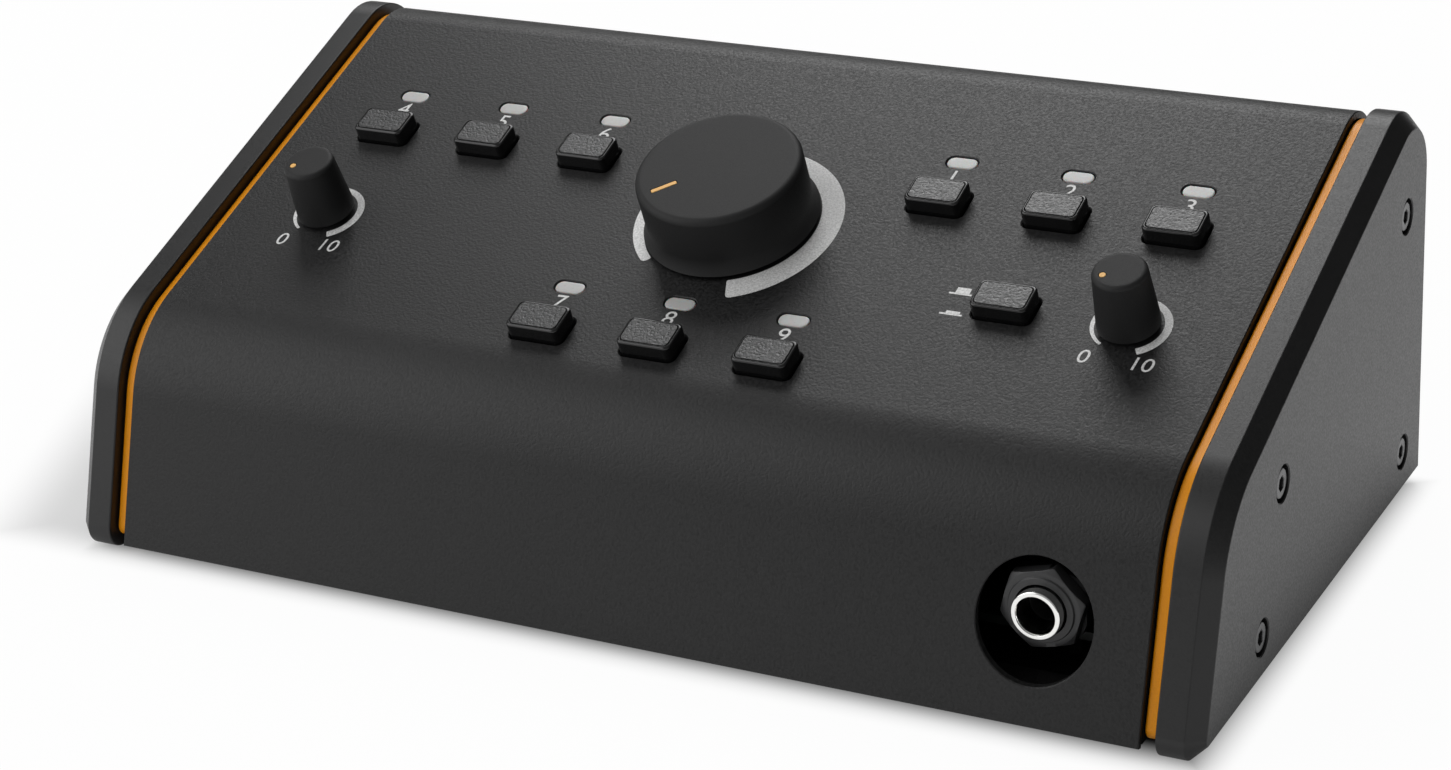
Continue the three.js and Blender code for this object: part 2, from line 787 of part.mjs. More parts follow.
// Rotary controls: potentiometer, D-shaft and knob, with an inlaid mark in the knob's top
function addRotaries() {
  for (const [name, u, v, size] of rotaries) {
    const pot = cut(
      join(
        block(-size / 2, size / 2, -size / 2, size / 2, -potBase, potHeight - potBase),
        drum(bushingRadius, -potBase + potHeight / 2, bushingProud, roundSteps),
      ),
      drum(shaftRadius + clearance, -potBoreEnd, bushingProud + overrun, smallSteps),
    );
    addPiece(panel, `${name}_pot`, pot, "steel", [u, v, 0]);
    const isMain = name === "main_level";
    const turn = isMain ? mainKnobTurn : sideKnobTurn;
    const shaft = join(
      drum(shaftRadius, -shaftEnd, bushingProud, smallSteps),
      slab(dOutline(shaftRadius, shaftFlat), bushingProud - overrun, shaftProud),
    );
    const knob = isMain ? mainKnob() : sideKnob();
    const pieces = [
      addPiece(panel, `${name}_shaft`, shaft, "steel", [u, v, 0]),
      addPiece(panel, `${name}_knob`, knob.shell, "knob", [u, v, 0]),
      addPiece(panel, `${name}_pointer`, knob.pointer, "inlay", [u, v, 0]),
    ];
    for (const piece of pieces) piece.rotation.z = turn;
  }
}

// Points of a quarter round at a knob's top edge, from its side to its face
function roundEdge(radius, top, edge) {
  const points = [];
  for (let step = 0; step <= edgeSteps; step++) {
    const angle = (Math.PI / 2) * (step / edgeSteps);
    points.push([radius - edge + edge * Math.cos(angle), top - edge + edge * Math.sin(angle)]);
  }
  return points;
}

function shaftBore(bottom) {
  return slab(dOutline(shaftRadius + clearance, shaftFlat + clearance), bottom, knobBoreTop);
}

function mainKnob() {
  const flare = [];
  for (let step = 0; step <= edgeSteps; step++) {
    const share = step / edgeSteps;
    const spread = mainKnobFlare * (1 - share) ** 2;
    flare.push([mainKnobRadius + spread, knobLift + mainKnobFlareHeight * share]);
  }
  const edge = roundEdge(mainKnobRadius, mainKnobTop, mainKnobEdge);
  const outside = turned([[0, knobLift], ...flare, ...edge, [0, mainKnobTop]], knobSteps);
  const roof = mainKnobTop - mainKnobRoof;
  const hollow = drum(mainKnobRadius - mainKnobWall, knobLift - overrun, roof, roundSteps);
  const hub = drum(mainKnobHub, knobHubBottom, mainKnobTop - mainKnobRoof / 2, roundSteps);
  const half = pointerWidth / 2;
  const floor = mainKnobTop - inlayDepth;
  const groove = block(
    pointerInner - inlayClearance,
    pointerOuter + inlayClearance,
    -half - inlayClearance,
    half + inlayClearance,
    floor - inlayClearance,
    mainKnobTop + overrun,
  );
  return {
    shell: cut(join(cut(outside, hollow), hub), shaftBore(knobHubBottom - overrun), groove),
    pointer: block(pointerInner, pointerOuter, -half, half, floor, mainKnobTop),
  };
}

function sideKnob() {
  const edge = roundEdge(sideKnobRadius, sideKnobTop, sideKnobEdge);
  const profile = [[0, knobLift], [sideKnobFoot, knobLift], ...edge, [0, sideKnobTop]];
  const outside = turned(profile, sideKnobSteps);
  const recess = drum(bushingRadius + 2 * clearance, knobLift - overrun, knobHubBottom, roundSteps);
  const floor = sideKnobTop - inlayDepth;
  const pocket = drum(dotRadius + inlayClearance, floor - inlayClearance, sideKnobTop + overrun, smallSteps);
  const dot = drum(dotRadius, floor, sideKnobTop, smallSteps);
  const bore = shaftBore(knobHubBottom - overrun);
  return {
    shell: cut(outside, recess, bore, pocket.translate(dotDistance, 0, 0)),
    pointer: dot.translate(dotDistance, 0, 0),
  };
}

// Headphone socket, seen from its mouth: the ferrule through a hexagonal nut, and the body behind
function addPhonesSocket() {
  const bodyHeight = 2 * (phonesHeight - socketFloor);
  const outline = rectangle(phonesBodyWidth, bodyHeight, phonesBodyCorner);
  const shell = cut(
    slab(outline, -phonesBodyFront - phonesBodyDepth, -phonesBodyFront),
    drum(plugRadius, -phonesBodyFront - plugDepth, overrun - phonesBodyFront, roundSteps),
  );
  addPiece(phones, "headphone_socket", shell, "plastic");
  const ferruleEnd = clearance - phonesBodyFront;
  const ferrule = turned(
    [
      [plugRadius, ferruleEnd],
      [ferruleRadius, ferruleEnd],
      [ferruleRadius, 0],
      [ferruleMouth, 0],
      [plugRadius, -ferruleMouthDepth],
      [plugRadius, ferruleEnd],
    ],
    roundSteps,
  );
  addPiece(phones, "headphone_ferrule", ferrule, "chrome");
  const nutRadius = nutFlats / 2 / Math.cos(Math.PI / 6);
  const nutBack = -nutSetback - nutThickness;
  const hexagon = drum(nutRadius, nutBack, -nutSetback, 6).rotateZ(nutTurn);
  const face = turned(
    [
      [0, nutBack],
      [nutRadius + overrun, nutBack],
      [nutFlats / 2, -nutSetback - nutCollarStep],
      [nutCollar, -nutSetback - nutCollarStep],
      [nutCollar, -nutSetback],
      [0, -nutSetback],
    ],
    roundSteps,
  );
  const bore = drum(ferruleRadius + clearance, nutBack - overrun, overrun - nutSetback, roundSteps);
  addPiece(phones, "headphone_nut", cut(solidOf(hexagon).intersect(solidOf(face)), bore), "darkMetal");
}

// Line socket seen from behind: a body on the main board with a collar through the rear panel
function lineSocket(width, depth, heights, collar, bore, boreDepth, steps) {
  const top = heights.at(-1) + (heights[0] - socketFloor);
  const overlap = socketFace + rearSheet;
  const shell = block(-width / 2, width / 2, socketFloor, top, -socketFace - depth, -socketFace);
  const collars = heights.map((y) => drum(collar, -overlap, 0, smallSteps).translate(0, y, 0));
  const bores = heights.map((y) => drum(bore, -boreDepth, overrun, smallSteps).translate(0, y, 0));
  return cut(join(shell, ...collars), ...bores);
}

function addRear() {
  const low = socketFloor + socketRise;
  const pair = [low, low + socketPitch];
  const pairDepth = socketFace + socketDepth - socketEndWall;
  const stack = lineSocket(socketWidth, socketDepth, pair, socketCollar, plugRadius, pairDepth, smallSteps);
  const outerOutput = trayHalf - outputMargin;
  const stacks = [
    ["output_sockets_1", outerOutput - 2 * outputPitch],
    ["output_sockets_2", outerOutput - outputPitch],
    ["output_sockets_3", outerOutput],
    ["input_sockets", trayHalf * socketShares.input],
  ];
  for (const [name, x] of stacks) addPiece(rear, name, stack, "plastic", [x, 0, 0]);
  const auxPlace = trayHalf * socketShares.aux;
  const powerPlace = trayHalf * socketShares.power;
  const auxBoreDepth = socketFace + auxDepth - socketEndWall;
  const aux = lineSocket(auxWidth, auxDepth, [low], auxCollar, auxBore, auxBoreDepth, smallSteps);
  addPiece(rear, "aux_socket", aux, "plastic", [auxPlace, 0, 0]);
  const powerBoreDepth = socketFace + powerDepth - socketEndWall;
  const power = join(
    lineSocket(powerWidth, powerDepth, [low], powerCollar, powerBore, powerBoreDepth, smallSteps),
    drum(powerPin, -powerBoreDepth - socketEndWall / 2, -rearFace, smallSteps).translate(0, low, 0),
  );
  addPiece(rear, "power_socket", power, "plastic", [powerPlace, 0, 0]);

  const half = trayHalf - clearance;
  const top = rearBendStart - rearTopMargin;
  const hole = (x, y, radius) =>
    drum(radius, -rearInner - overrun, overrun, smallSteps).translate(x, y, 0);
  const rearPanel = cut(
    block(-half, half, traySheet + clearance, top, -rearInner, -rearFace),
    ...stacks.flatMap(([, x]) => pair.map((y) => hole(x, y, socketCollar + clearance))),
    hole(auxPlace, low, auxCollar + clearance),
    hole(powerPlace, low, powerCollar + clearance),
    hole(-rearScrewSide, rearBendStart - rearScrewDrop, holeRadius),
    hole(rearScrewSide, rearBendStart - rearScrewDrop, holeRadius),
  );
  addPiece(rear, "rear_panel", rearPanel, "coat");
}

// Main board on the tray's pillars, with the lower cable header
function addMainBoard() {
  const { side, back } = mainBoardReach();
  const plate = block(-side, side, mainBoardFront, back, mainBoardUnderside, mainBoardTop);
  const header = block(
    headerSide - headerWidth / 2,
    headerSide + headerWidth / 2,
    lowerHeaderPlace - headerDepth / 2,
    lowerHeaderPlace + headerDepth / 2,
    mainBoardTop - boardThickness / 2,
    mainBoardTop + headerHeight,
  );
  addPiece(body, "main_board", join(plate, header), "board");
}

// Ribbon cable: leaves the upper header square to its board and enters the lower one from above
function addRibbon() {
  const headerEnd = -boardUnderside - headerHeight - clearance;
  const upper = new THREE.Vector3(0, upperHeaderRow, headerEnd).applyMatrix4(panelFrame);
  const outward = new THREE.Vector3(0, 0, -headerHeight).transformDirection(panelFrame);
  const start = new THREE.Vector2(upper.y, upper.z);
  const end = new THREE.Vector2(lowerHeaderPlace, mainBoardTop + headerHeight + clearance);
  const reach = start.distanceTo(end) / 3;
  const curve = new THREE.CubicBezierCurve(
    start,
    start.clone().add(new THREE.Vector2(outward.y, outward.z).multiplyScalar(reach)),
    end.clone().add(new THREE.Vector2(0, reach)),
    end,
  );
  const sideOf = (offset) =>
    curve.getPoints(bendSteps).map((point, step) => {
      const tangent = curve.getTangent(step / bendSteps);
      return new THREE.Vector2(point.x - tangent.y * offset, point.y + tangent.x * offset);
    });
  const outline = [...sideOf(-ribbonThickness / 2), ...sideOf(ribbonThickness / 2).reverse()];
  const left = headerSide - ribbonWidth / 2;
  addPiece(body, "ribbon_cable", acrossBody(outline, left, left + ribbonWidth), "ribbon");
}

addCover();
addTray();
addFeet();
addSide("left", -1);
addSide("right", 1);
addCoverScrews();
addButtons();
addLightPipes();
addControlBoard();
addRotaries();
addPhonesSocket();
addRear();
addMainBoard();
addRibbon();

// The object stands on the floor with the middle of its outline over the origin
const monitorController = new THREE.Group();
monitorController.add(body);
const extent = new THREE.Box3().setFromObject(body, true);
body.position.set(0, -(extent.min.y + extent.max.y) / 2, -extent.min.z);

export default monitorController;
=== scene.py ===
import bisect
import json
import math

import bmesh
import bpy
from mathutils import Matrix, Vector
from mathutils.geometry import delaunay_2d_cdt

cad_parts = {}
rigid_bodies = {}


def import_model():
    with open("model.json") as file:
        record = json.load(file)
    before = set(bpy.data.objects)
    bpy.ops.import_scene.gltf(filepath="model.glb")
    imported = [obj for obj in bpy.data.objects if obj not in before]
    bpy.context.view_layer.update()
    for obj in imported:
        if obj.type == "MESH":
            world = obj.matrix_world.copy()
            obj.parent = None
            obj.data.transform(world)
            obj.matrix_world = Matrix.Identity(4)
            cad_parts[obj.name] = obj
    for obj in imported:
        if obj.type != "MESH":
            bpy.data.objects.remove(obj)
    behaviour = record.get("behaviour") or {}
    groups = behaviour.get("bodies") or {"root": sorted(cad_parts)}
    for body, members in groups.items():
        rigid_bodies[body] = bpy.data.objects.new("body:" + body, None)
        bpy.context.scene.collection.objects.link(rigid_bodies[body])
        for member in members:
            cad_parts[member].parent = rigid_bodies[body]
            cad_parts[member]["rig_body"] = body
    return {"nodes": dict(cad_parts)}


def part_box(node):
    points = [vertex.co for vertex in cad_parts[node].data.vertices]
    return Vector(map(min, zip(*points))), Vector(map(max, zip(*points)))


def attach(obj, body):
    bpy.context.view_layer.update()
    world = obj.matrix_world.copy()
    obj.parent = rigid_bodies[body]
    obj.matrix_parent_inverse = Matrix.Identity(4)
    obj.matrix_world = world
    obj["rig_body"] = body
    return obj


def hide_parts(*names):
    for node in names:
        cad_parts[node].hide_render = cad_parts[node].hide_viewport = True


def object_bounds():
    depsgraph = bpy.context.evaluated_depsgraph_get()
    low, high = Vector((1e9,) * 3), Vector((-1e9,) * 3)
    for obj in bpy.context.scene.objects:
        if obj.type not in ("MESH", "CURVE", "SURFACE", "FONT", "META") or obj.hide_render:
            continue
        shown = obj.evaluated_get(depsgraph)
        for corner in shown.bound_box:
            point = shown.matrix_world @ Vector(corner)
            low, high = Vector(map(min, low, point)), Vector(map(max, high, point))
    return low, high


for leftover in list(bpy.data.objects):
    bpy.data.objects.remove(leftover)
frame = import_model()
cad_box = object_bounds()

METRE = 0.001
cover_low, cover_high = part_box("top_cover")
origin = Vector((0, cover_low.y, cover_low.z)) / METRE

# Body profile and sheet metal
body_width = (cover_high.x - cover_low.x) / METRE
body_depth = (cover_high.y - cover_low.y) / METRE
front_height = 39.5
front_lean = math.radians(17.5)
panel_slope = math.radians(20.2)
front_bend = 24.3
back_bend = 12.4
cover_sheet = 1.5
cover_flange = 9
cover_lip = 12
tray_sheet = 1.5
tray_end = 2
sheet_edge = 0.18
sheet_corner = 0.2
inner_gap = 0.3
overlap = 0.5

# Studs that carry the control board: place across and up the panel
studs = ((-94, 14.5), (94, 14.5), (0, 37.8), (-94, 90), (0, 90), (94, 90))
stud_radius = 2.5
stud_top = -0.75

# Side plates and accent plates: a rim is the strip that an edge rounding starts from
side_gap = 0.3
accent_plate = 2.3
accent_inset = 1.35
accent_lift = 0.4
accent_toe = 2
accent_edge = 0.5
accent_rim = 1.6
side_plate = 8
side_proud = 0.75
side_drop = 2
side_toe = 4
side_chamfer = 2.9
plate_edge = 0.3
plate_rim = 0.9
face_edge = 0.45
face_rim = 0.6

# Screws: the four on a side by their place back and up on the body, then the sizes
side_screws = {
    "lower_front": (30, 8.1),
    "lower_back": (109, 8.4),
    "upper_front": (40, 32.6),
    "upper_back": (108.1, 56.2),
}
screw_radius = 1.5
screw_tip = 0.6
screw_reach = 4.5
screw_head = 2.75
screw_head_height = 3
screw_head_rim = 0.7
screw_edge = 0.1
screw_round = 0.05
screw_hole = 1.8
screw_recess = 3.4
screw_recess_depth = 3.6
screw_recess_edge = 0.2
screw_socket = 1.4
screw_socket_depth = 1.4
screw_socket_edge = 0.15
screw_socket_turn = 0.2

# Screws of the cover: two under its front lip, two in its rear flange
lip_screw_column = 60
lip_screw_row = 9
lip_screw_length = 4.5
lip_screw_head = 1.7
rear_screw_column = 75
rear_screw_drop = 5.5
rear_screw_length = 5
rear_screw_neck = 1.1
rear_screw_face = 2.2
rear_socket_depth = 0.8
rear_socket_edge = 0.1
rear_socket_turn = 0.3
countersink = 3.05

# Panel layout: U across, V up the slope, H out of the panel
button_pitch = 23.2
side_column = 83.5
upper_row = 64.8
lower_row = 17.7
lamp_rise = 11.5
main_row = 52.6
side_row = 39.8
cap_width = 11
cap_height = 7
cap_corner = 1.2
cap_corner_loss = 0.4
cap_proud = 3.2
cap_bevel = 0.5
cap_edge = 0.42
cap_rim_drop = 0.1
cap_groove_depth = 0.3
cap_groove_width = 0.2
cap_gap = 0.35
cap_flange = 1.15
cap_flange_thickness = 1.2
cap_stem = 1.5
switch_height = 1.8
lamp_width = 6
lamp_height = 3
lamp_corner = 1.4
lamp_gap = 0.2
lamp_sink = 0.1
lamp_edge = 0.25
lamp_leg = 1.3
lamp_rail_top = -3.2
lamp_rail_bottom = -5.2
lamp_rail_width = 3.6
board_depth = 9.7
bushing_hole = 4.3

# Knobs
knob_lift = 0.8
knob_seat = 2.6
main_radius = 15.9
main_top = 13.3
main_flare = 1
main_flare_height = 3.4
main_flare_foot = 0.15
main_flare_steps = 12
main_edge = 1.3
main_top_rim = 2
main_foot_rim = 0.6
main_wall = 1.5
main_roof = 2.3
main_core = 5.5
main_turn = math.radians(-136.5)
main_mark_length = 5
main_mark_width = 0.9
main_mark_corner = 0.2
main_mark_place = 10.7
small_radius = 4.9
small_foot = 5.75
small_top = 12.9
small_edge = 0.9
small_foot_edge = 0.15
small_foot_rim = 0.5
small_top_rim = 1.2
small_hollow = 4.6
small_turn = math.radians(-145)
small_mark_radius = 0.6
small_mark_place = 3
inlay_depth = 0.6
inlay_gap = 0.1
inlay_edge = 0.05

# Headphone socket
phones_hole_height = 17.2
phones_hole = 10.65
phones_height = 17.9
ferrule_radius = 4.5
ferrule_mouth = 3.6
ferrule_setback = 0.25
plug_radius = 3.3
nut_setback = 2.4
nut_flats = 14
nut_thickness = 3
nut_turn = math.radians(-16)
nut_chamfer = 0.65
nut_chamfer_steps = 8
nut_steps = 144
nut_collar = 6
nut_collar_height = 0.4
nut_bore = 4.8

# Feet
foot_inset = 14
foot_radius = 6
foot_low_radius = 5.2
foot_low = -3
foot_high = -0.3
foot_edge = 0.5
dimple_radius = 2.2
dimple_floor = 1.9
dimple_depth = 1.4

# Back
rear_panel_face = 1.8
rear_panel_sheet = 1.5
rear_panel_corner = 0.3
rear_panel_edge = 0.12
rear_hole_edge = 0.15
socket_floor = 11.9
socket_low = 18.4
socket_pitch = 13
socket_wall = 1.5
socket_edge = 0.4

# Line sockets: column, rows, hole in the panel, width and depth of the block, collar and bore
line_pair = (2, 5.8, 16, 26, 5.5, 3.3)
sockets = {
    "output_sockets_1": (40, *line_pair),
    "output_sockets_2": (63, *line_pair),
    "output_sockets_3": (86, *line_pair),
    "input_sockets": (-2, *line_pair),
    "aux_socket": (-34, 1, 3.9, 9, 14, 3.6, 1.85),
    "power_socket": (-66, 1, 5.3, 12, 14, 5, 3.2),
}
power_pin = 1.05

# Printed marks. Scales: inner radius, outer radius at the start and at the end, start and end
# angle in degrees, steps, corner. Signs of the single button: place across and up, height of
# the block on the bar
print_low = 0.004
print_high = 0.03
main_scale = (17.0, 18.85, 21.9, 229, -69, 100, 0.85)
small_scale = (6.2, 6.75, 7.8, 238, -61, 60, 0.22)
scale_growth = 1.4
number_across = -0.3
number_rise = 5.5
number_height = 3.8
dial_numbers = (("0", -5.2), ("10", 5.4))
dial_number_drop = 10.6
dial_number_height = 3.4
type_size = 1.38
type_slant = 0.06
switch_signs = ((50.75, 41.7, 1.5), (51.0, 36.3, 0.7))
sign_width = 4.4
sign_stroke = 0.42
sign_block = 2.7
sign_block_shift = 0.3
sign_corner = 0.1
sign_overlap = 0.05

# Steps of round forms
ARC = 16
RING = 96
EDGE = 4

# Floor (m): each edge of the soft shadow by its direction, its start and the length of its fade,
# then how much longer the fade is in reflections, and the painted shadow under the object: the dark
# floor colour there and the length over which it fades out
shadow_edges = (
    ((1, 0, 0), 0.1074, 0.012),
    ((0, 1, 0), 0.0533, 0.009),
    ((0, -1, 0), 0.0521, 0.0133),
    ((-1, -0.36, 0), 0.1449, 0.0205),
)
shadow_in_reflections = 1.4
floor_size = 4
floor_roughness = 0.9
floor_shine = 0.1
floor_glow = 0.97
floor_colour = 0.82
painted_shadow_colour = 0.05
painted_shadow_fade = 0.008

# Fill light of the world: where it comes from, its strength on the far side and on that side
fill_from = (-0.5, -0.866, 0)
fill_least = 0.02
fill_most = 0.44

# Lamps (m, W): place, side of the square, power; all aim at one point
lights = {
    "overhead": ((-0.276, 0.641, 0.851), 0.65, 5.7),
    "front_left": ((-0.734, -0.518, 0.635), 1.1, 6.2),
}
light_aim = Vector((0, 0, 0.03))

# Camera as fitted to the photo: place and range in m, focal length and width in pixels
camera_place = (0.28120, -0.513115, 0.28389)
camera_azimuth = math.radians(29.019)
camera_elevation = math.radians(23.657)
camera_roll = math.radians(-3.511)
camera_range = (0.01, 20)
focal_length = 3354.0
picture_width = 1451
sensor_width = 36


# Places
half_width = body_width / 2
inner_half = half_width - tray_end - inner_gap
front_setback = front_height * math.tan(front_lean)


def metres(x, y, z):
    return (Vector((x, y, z)) + origin) * METRE


def upright(x, y):
    return lambda a, b, h: metres(x + a, y + b, h)


def on_panel(u, v, turn=0.0):
    def place(a, b, h):
        across = u + a * math.cos(turn) - b * math.sin(turn)
        along = v + a * math.sin(turn) + b * math.cos(turn)
        return metres(
            across,
            front_setback + along * math.cos(panel_slope) - h * math.sin(panel_slope),
            front_height + along * math.sin(panel_slope) + h * math.cos(panel_slope),
        )

    return place


def on_side(side):
    return lambda y, z, x: metres(side * x, y, z)


def on_rear(x, z):
    return lambda a, b, h: metres(-(x + a), body_depth + h, z + b)


def in_phones(a, b, h):
    front = phones_height * math.tan(front_lean) + ferrule_setback
    return metres(side_column + a, front - h, phones_height + b)


# Outlines
def arc_at(before, corner, after, steps):
    """Points of the arc that rounds a corner (x, y, radius) between its neighbours."""
    here = Vector(corner[:2])
    if corner[2] <= 0:
        return [here]
    arriving = (here - Vector(before[:2])).normalized()
    leaving = (Vector(after[:2]) - here).normalized()
    turn = math.atan2(arriving.x * leaving.y - arriving.y * leaving.x, arriving.dot(leaving))
    start = here - arriving * (corner[2] * math.tan(abs(turn) / 2))
    inward = Vector((-arriving.y, arriving.x)) * math.copysign(corner[2], turn)
    centre = start + inward
    points = []
    for step in range(steps + 1):
        angle = turn * step / steps
        spoke = -inward
        points.append(
            centre
            + Vector(
                (
                    spoke.x * math.cos(angle) - spoke.y * math.sin(angle),
                    spoke.x * math.sin(angle) + spoke.y * math.cos(angle),
                )
            )
        )
    return points


def closed_outline(corners, steps):
    """Outline through corners, each with the radius that rounds it."""
    points = []
    for place, corner in enumerate(corners):
        points += arc_at(corners[place - 1], corner, corners[(place + 1) % len(corners)], steps)
    return points


def open_path(corners, steps=EDGE):
    """Path through corners, each with the radius that rounds it."""
    points = [Vector(corners[0][:2])]
    for before, corner, after in zip(corners, corners[1:], corners[2:]):
        points += arc_at(before, corner, after, steps)
    return [*points, Vector(corners[-1][:2])]


def polar(radius, angle, x=0.0, y=0.0):
    return Vector((x + radius * math.cos(angle), y + radius * math.sin(angle)))


def circle(radius, steps=RING, x=0.0, y=0.0):
    return [polar(radius, 2 * math.pi * step / steps, x, y) for step in range(steps)]


def rectangle(width, height, corner, x=0.0, y=0.0, steps=6):
    a, b = width / 2, height / 2
    corners = [(x - a, y - b), (x + a, y - b), (x + a, y + b), (x - a, y + b)]
    return closed_outline([(*corner_place, corner) for corner_place in corners], steps)


def hexagon(radius, turn=0.0, x=0.0, y=0.0, corner=0.05):
    angles = [turn + math.pi / 3 * step for step in range(6)]
    return closed_outline([(*polar(radius, angle, x, y), corner) for angle in angles], 2)


def body_corners(inset, bottom):
    """Corners of the body's side outline, moved inwards, from the front bottom to the front top."""
    lean, slope = math.tan(front_lean), math.tan(panel_slope)
    front_inset = inset / math.cos(front_lean)
    top_inset = inset / math.cos(panel_slope)
    back = body_depth - inset

    def top_at(y):
        return front_height + (y - front_height * lean) * slope - top_inset

    front_top = top_at(front_inset) / (1 - lean * slope)
    return [
        (bottom * lean + front_inset, bottom),
        (back, bottom),
        (back, top_at(back)),
        (front_top * lean + front_inset, front_top),
    ]


def body_outline(inset, bottom, toe):
    corners = body_corners(inset, bottom)
    radii = [max(toe, 0.05), 0, back_bend - inset, front_bend - inset]
    return closed_outline([(*corner, radius) for corner, radius in zip(corners, radii)], ARC)


def inside(point, outline):
    hit = False
    for a, b in zip(outline, [*outline[1:], outline[0]]):
        if (a.y > point.y) != (b.y > point.y):
            if point.x < a.x + (point.y - a.y) / (b.y - a.y) * (b.x - a.x):
                hit = not hit
    return hit


class Form:
    """A mesh made of closed bodies, each a stack of outlines with a flat face at both ends."""

    def __init__(self):
        self.mesh = bmesh.new()
        self.finish = 0

    def new_face(self, corners):
        face = self.mesh.faces.new(corners)
        face.material_index = self.finish

    def wall(self, stack, place):
        rings = []
        for outline, height in stack:
            rings.append([self.mesh.verts.new(place(a, b, height)) for a, b in outline])
        for low, high in zip(rings, rings[1:]):
            for step in range(len(low)):
                after = (step + 1) % len(low)
                self.new_face((low[step], low[after], high[after], high[step]))

    def ring(self, stack, place):
        """Closed body of revolution whose profile comes back to where it starts."""
        self.wall([*stack, stack[0]], place)

    def face(self, outline, height, place, holes=(), lines=()):
        points, edges = [], []
        for loop in (outline, *holes):
            first = len(points)
            points += loop
            edges += [(first + step, first + (step + 1) % len(loop)) for step in range(len(loop))]
        for start, end in lines:
            edges.append((len(points), len(points) + 1))
            points += [Vector(start), Vector(end)]
        verts, _, triangles, *_ = delaunay_2d_cdt(points, edges, [], 0, 1e-6)
        made = [self.mesh.verts.new(place(point.x, point.y, height)) for point in verts]
        for corners in triangles:
            middle = sum((verts[corner] for corner in corners), Vector((0, 0))) / 3
            if inside(middle, outline) and not any(inside(middle, hole) for hole in holes):
                self.new_face([made[corner] for corner in corners])

    def body(self, stack, place, through=(), top=(), bottom=(), lines=()):
        """Closed body. Holes are stacks too: through both ends, into the top or the bottom."""
        self.wall(stack, place)
        for hole in (*through, *top, *bottom):
            self.wall(hole, place)
        self.face(*stack[0], place, [hole[0][0] for hole in (*through, *bottom)], lines)
        for hole in top:
            self.face(*hole[0], place)
        for hole in bottom:
            self.face(*hole[-1], place)
        self.face(*stack[-1], place, [hole[-1][0] for hole in (*through, *top)], lines)

    def done(self, name, finishes, nodes=(), rider=None, sharp=32):
        bmesh.ops.remove_doubles(self.mesh, verts=self.mesh.verts, dist=1e-6)
        bmesh.ops.recalc_face_normals(self.mesh, faces=self.mesh.faces)
        data = bpy.data.meshes.new(name)
        self.mesh.to_mesh(data)
        self.mesh.free()
        for material in finishes:
            data.materials.append(material)
        data.shade_smooth()
        data.set_sharp_from_angle(angle=math.radians(sharp))
        return place_piece(name, data, nodes, rider)


def add_object(name, data):
    made = bpy.data.objects.new(name, data)
    bpy.context.scene.collection.objects.link(made)
    return made


def place_piece(name, data, nodes=(), rider=None):
    made = add_object(name, data)
    weighted = made.modifiers.new("weighted normals", "WEIGHTED_NORMAL")
    weighted.keep_sharp = True
    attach(made, rider or frame["nodes"][nodes[0]]["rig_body"])
    if nodes:
        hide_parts(*nodes)
    return made


def straight(outline, low, high):
    return [(outline, low), (outline, high)]


def stack_of(outline_at, path):
    """Stack of outlines along a path of (inset, height)."""
    return [(outline_at(inset), height) for inset, height in path]


def turned_stack(path, steps=RING, x=0.0, y=0.0):
    """Stack of circles along a path of (radius, height)."""
    return [(circle(radius, steps, x, y), height) for radius, height in path]


# Shader nodes
def add_node(tree, kind, inputs, operation=None):
    """New node. Each input is given either a value or the output of another node."""
    made = tree.nodes.new(kind)
    if operation:
        made.operation = operation
    for name, given in inputs.items():
        if isinstance(given, bpy.types.NodeSocket):
            tree.links.new(given, made.inputs[name])
        else:
            made.inputs[name].default_value = given
    return made


def number_of(tree, operation, *values):
    return add_node(tree, "ShaderNodeMath", dict(enumerate(values)), operation).outputs["Value"]


def vector_of(tree, operation, *values, output="Vector"):
    made = add_node(tree, "ShaderNodeVectorMath", dict(enumerate(values)), operation)
    return made.outputs[output]


def remap(tree, value, start, end, low, high, curve="LINEAR"):
    """Value between start and end, turned into one between low and high."""
    inputs = {"Value": value, "From Min": start, "From Max": end, "To Min": low, "To Max": high}
    made = add_node(tree, "ShaderNodeMapRange", inputs)
    made.interpolation_type = curve
    return made.outputs["Result"]


# Finishes
noise_low, noise_high = 0.3, 0.7
fine_detail = 2
broad_scale = 40
broad_detail = 3


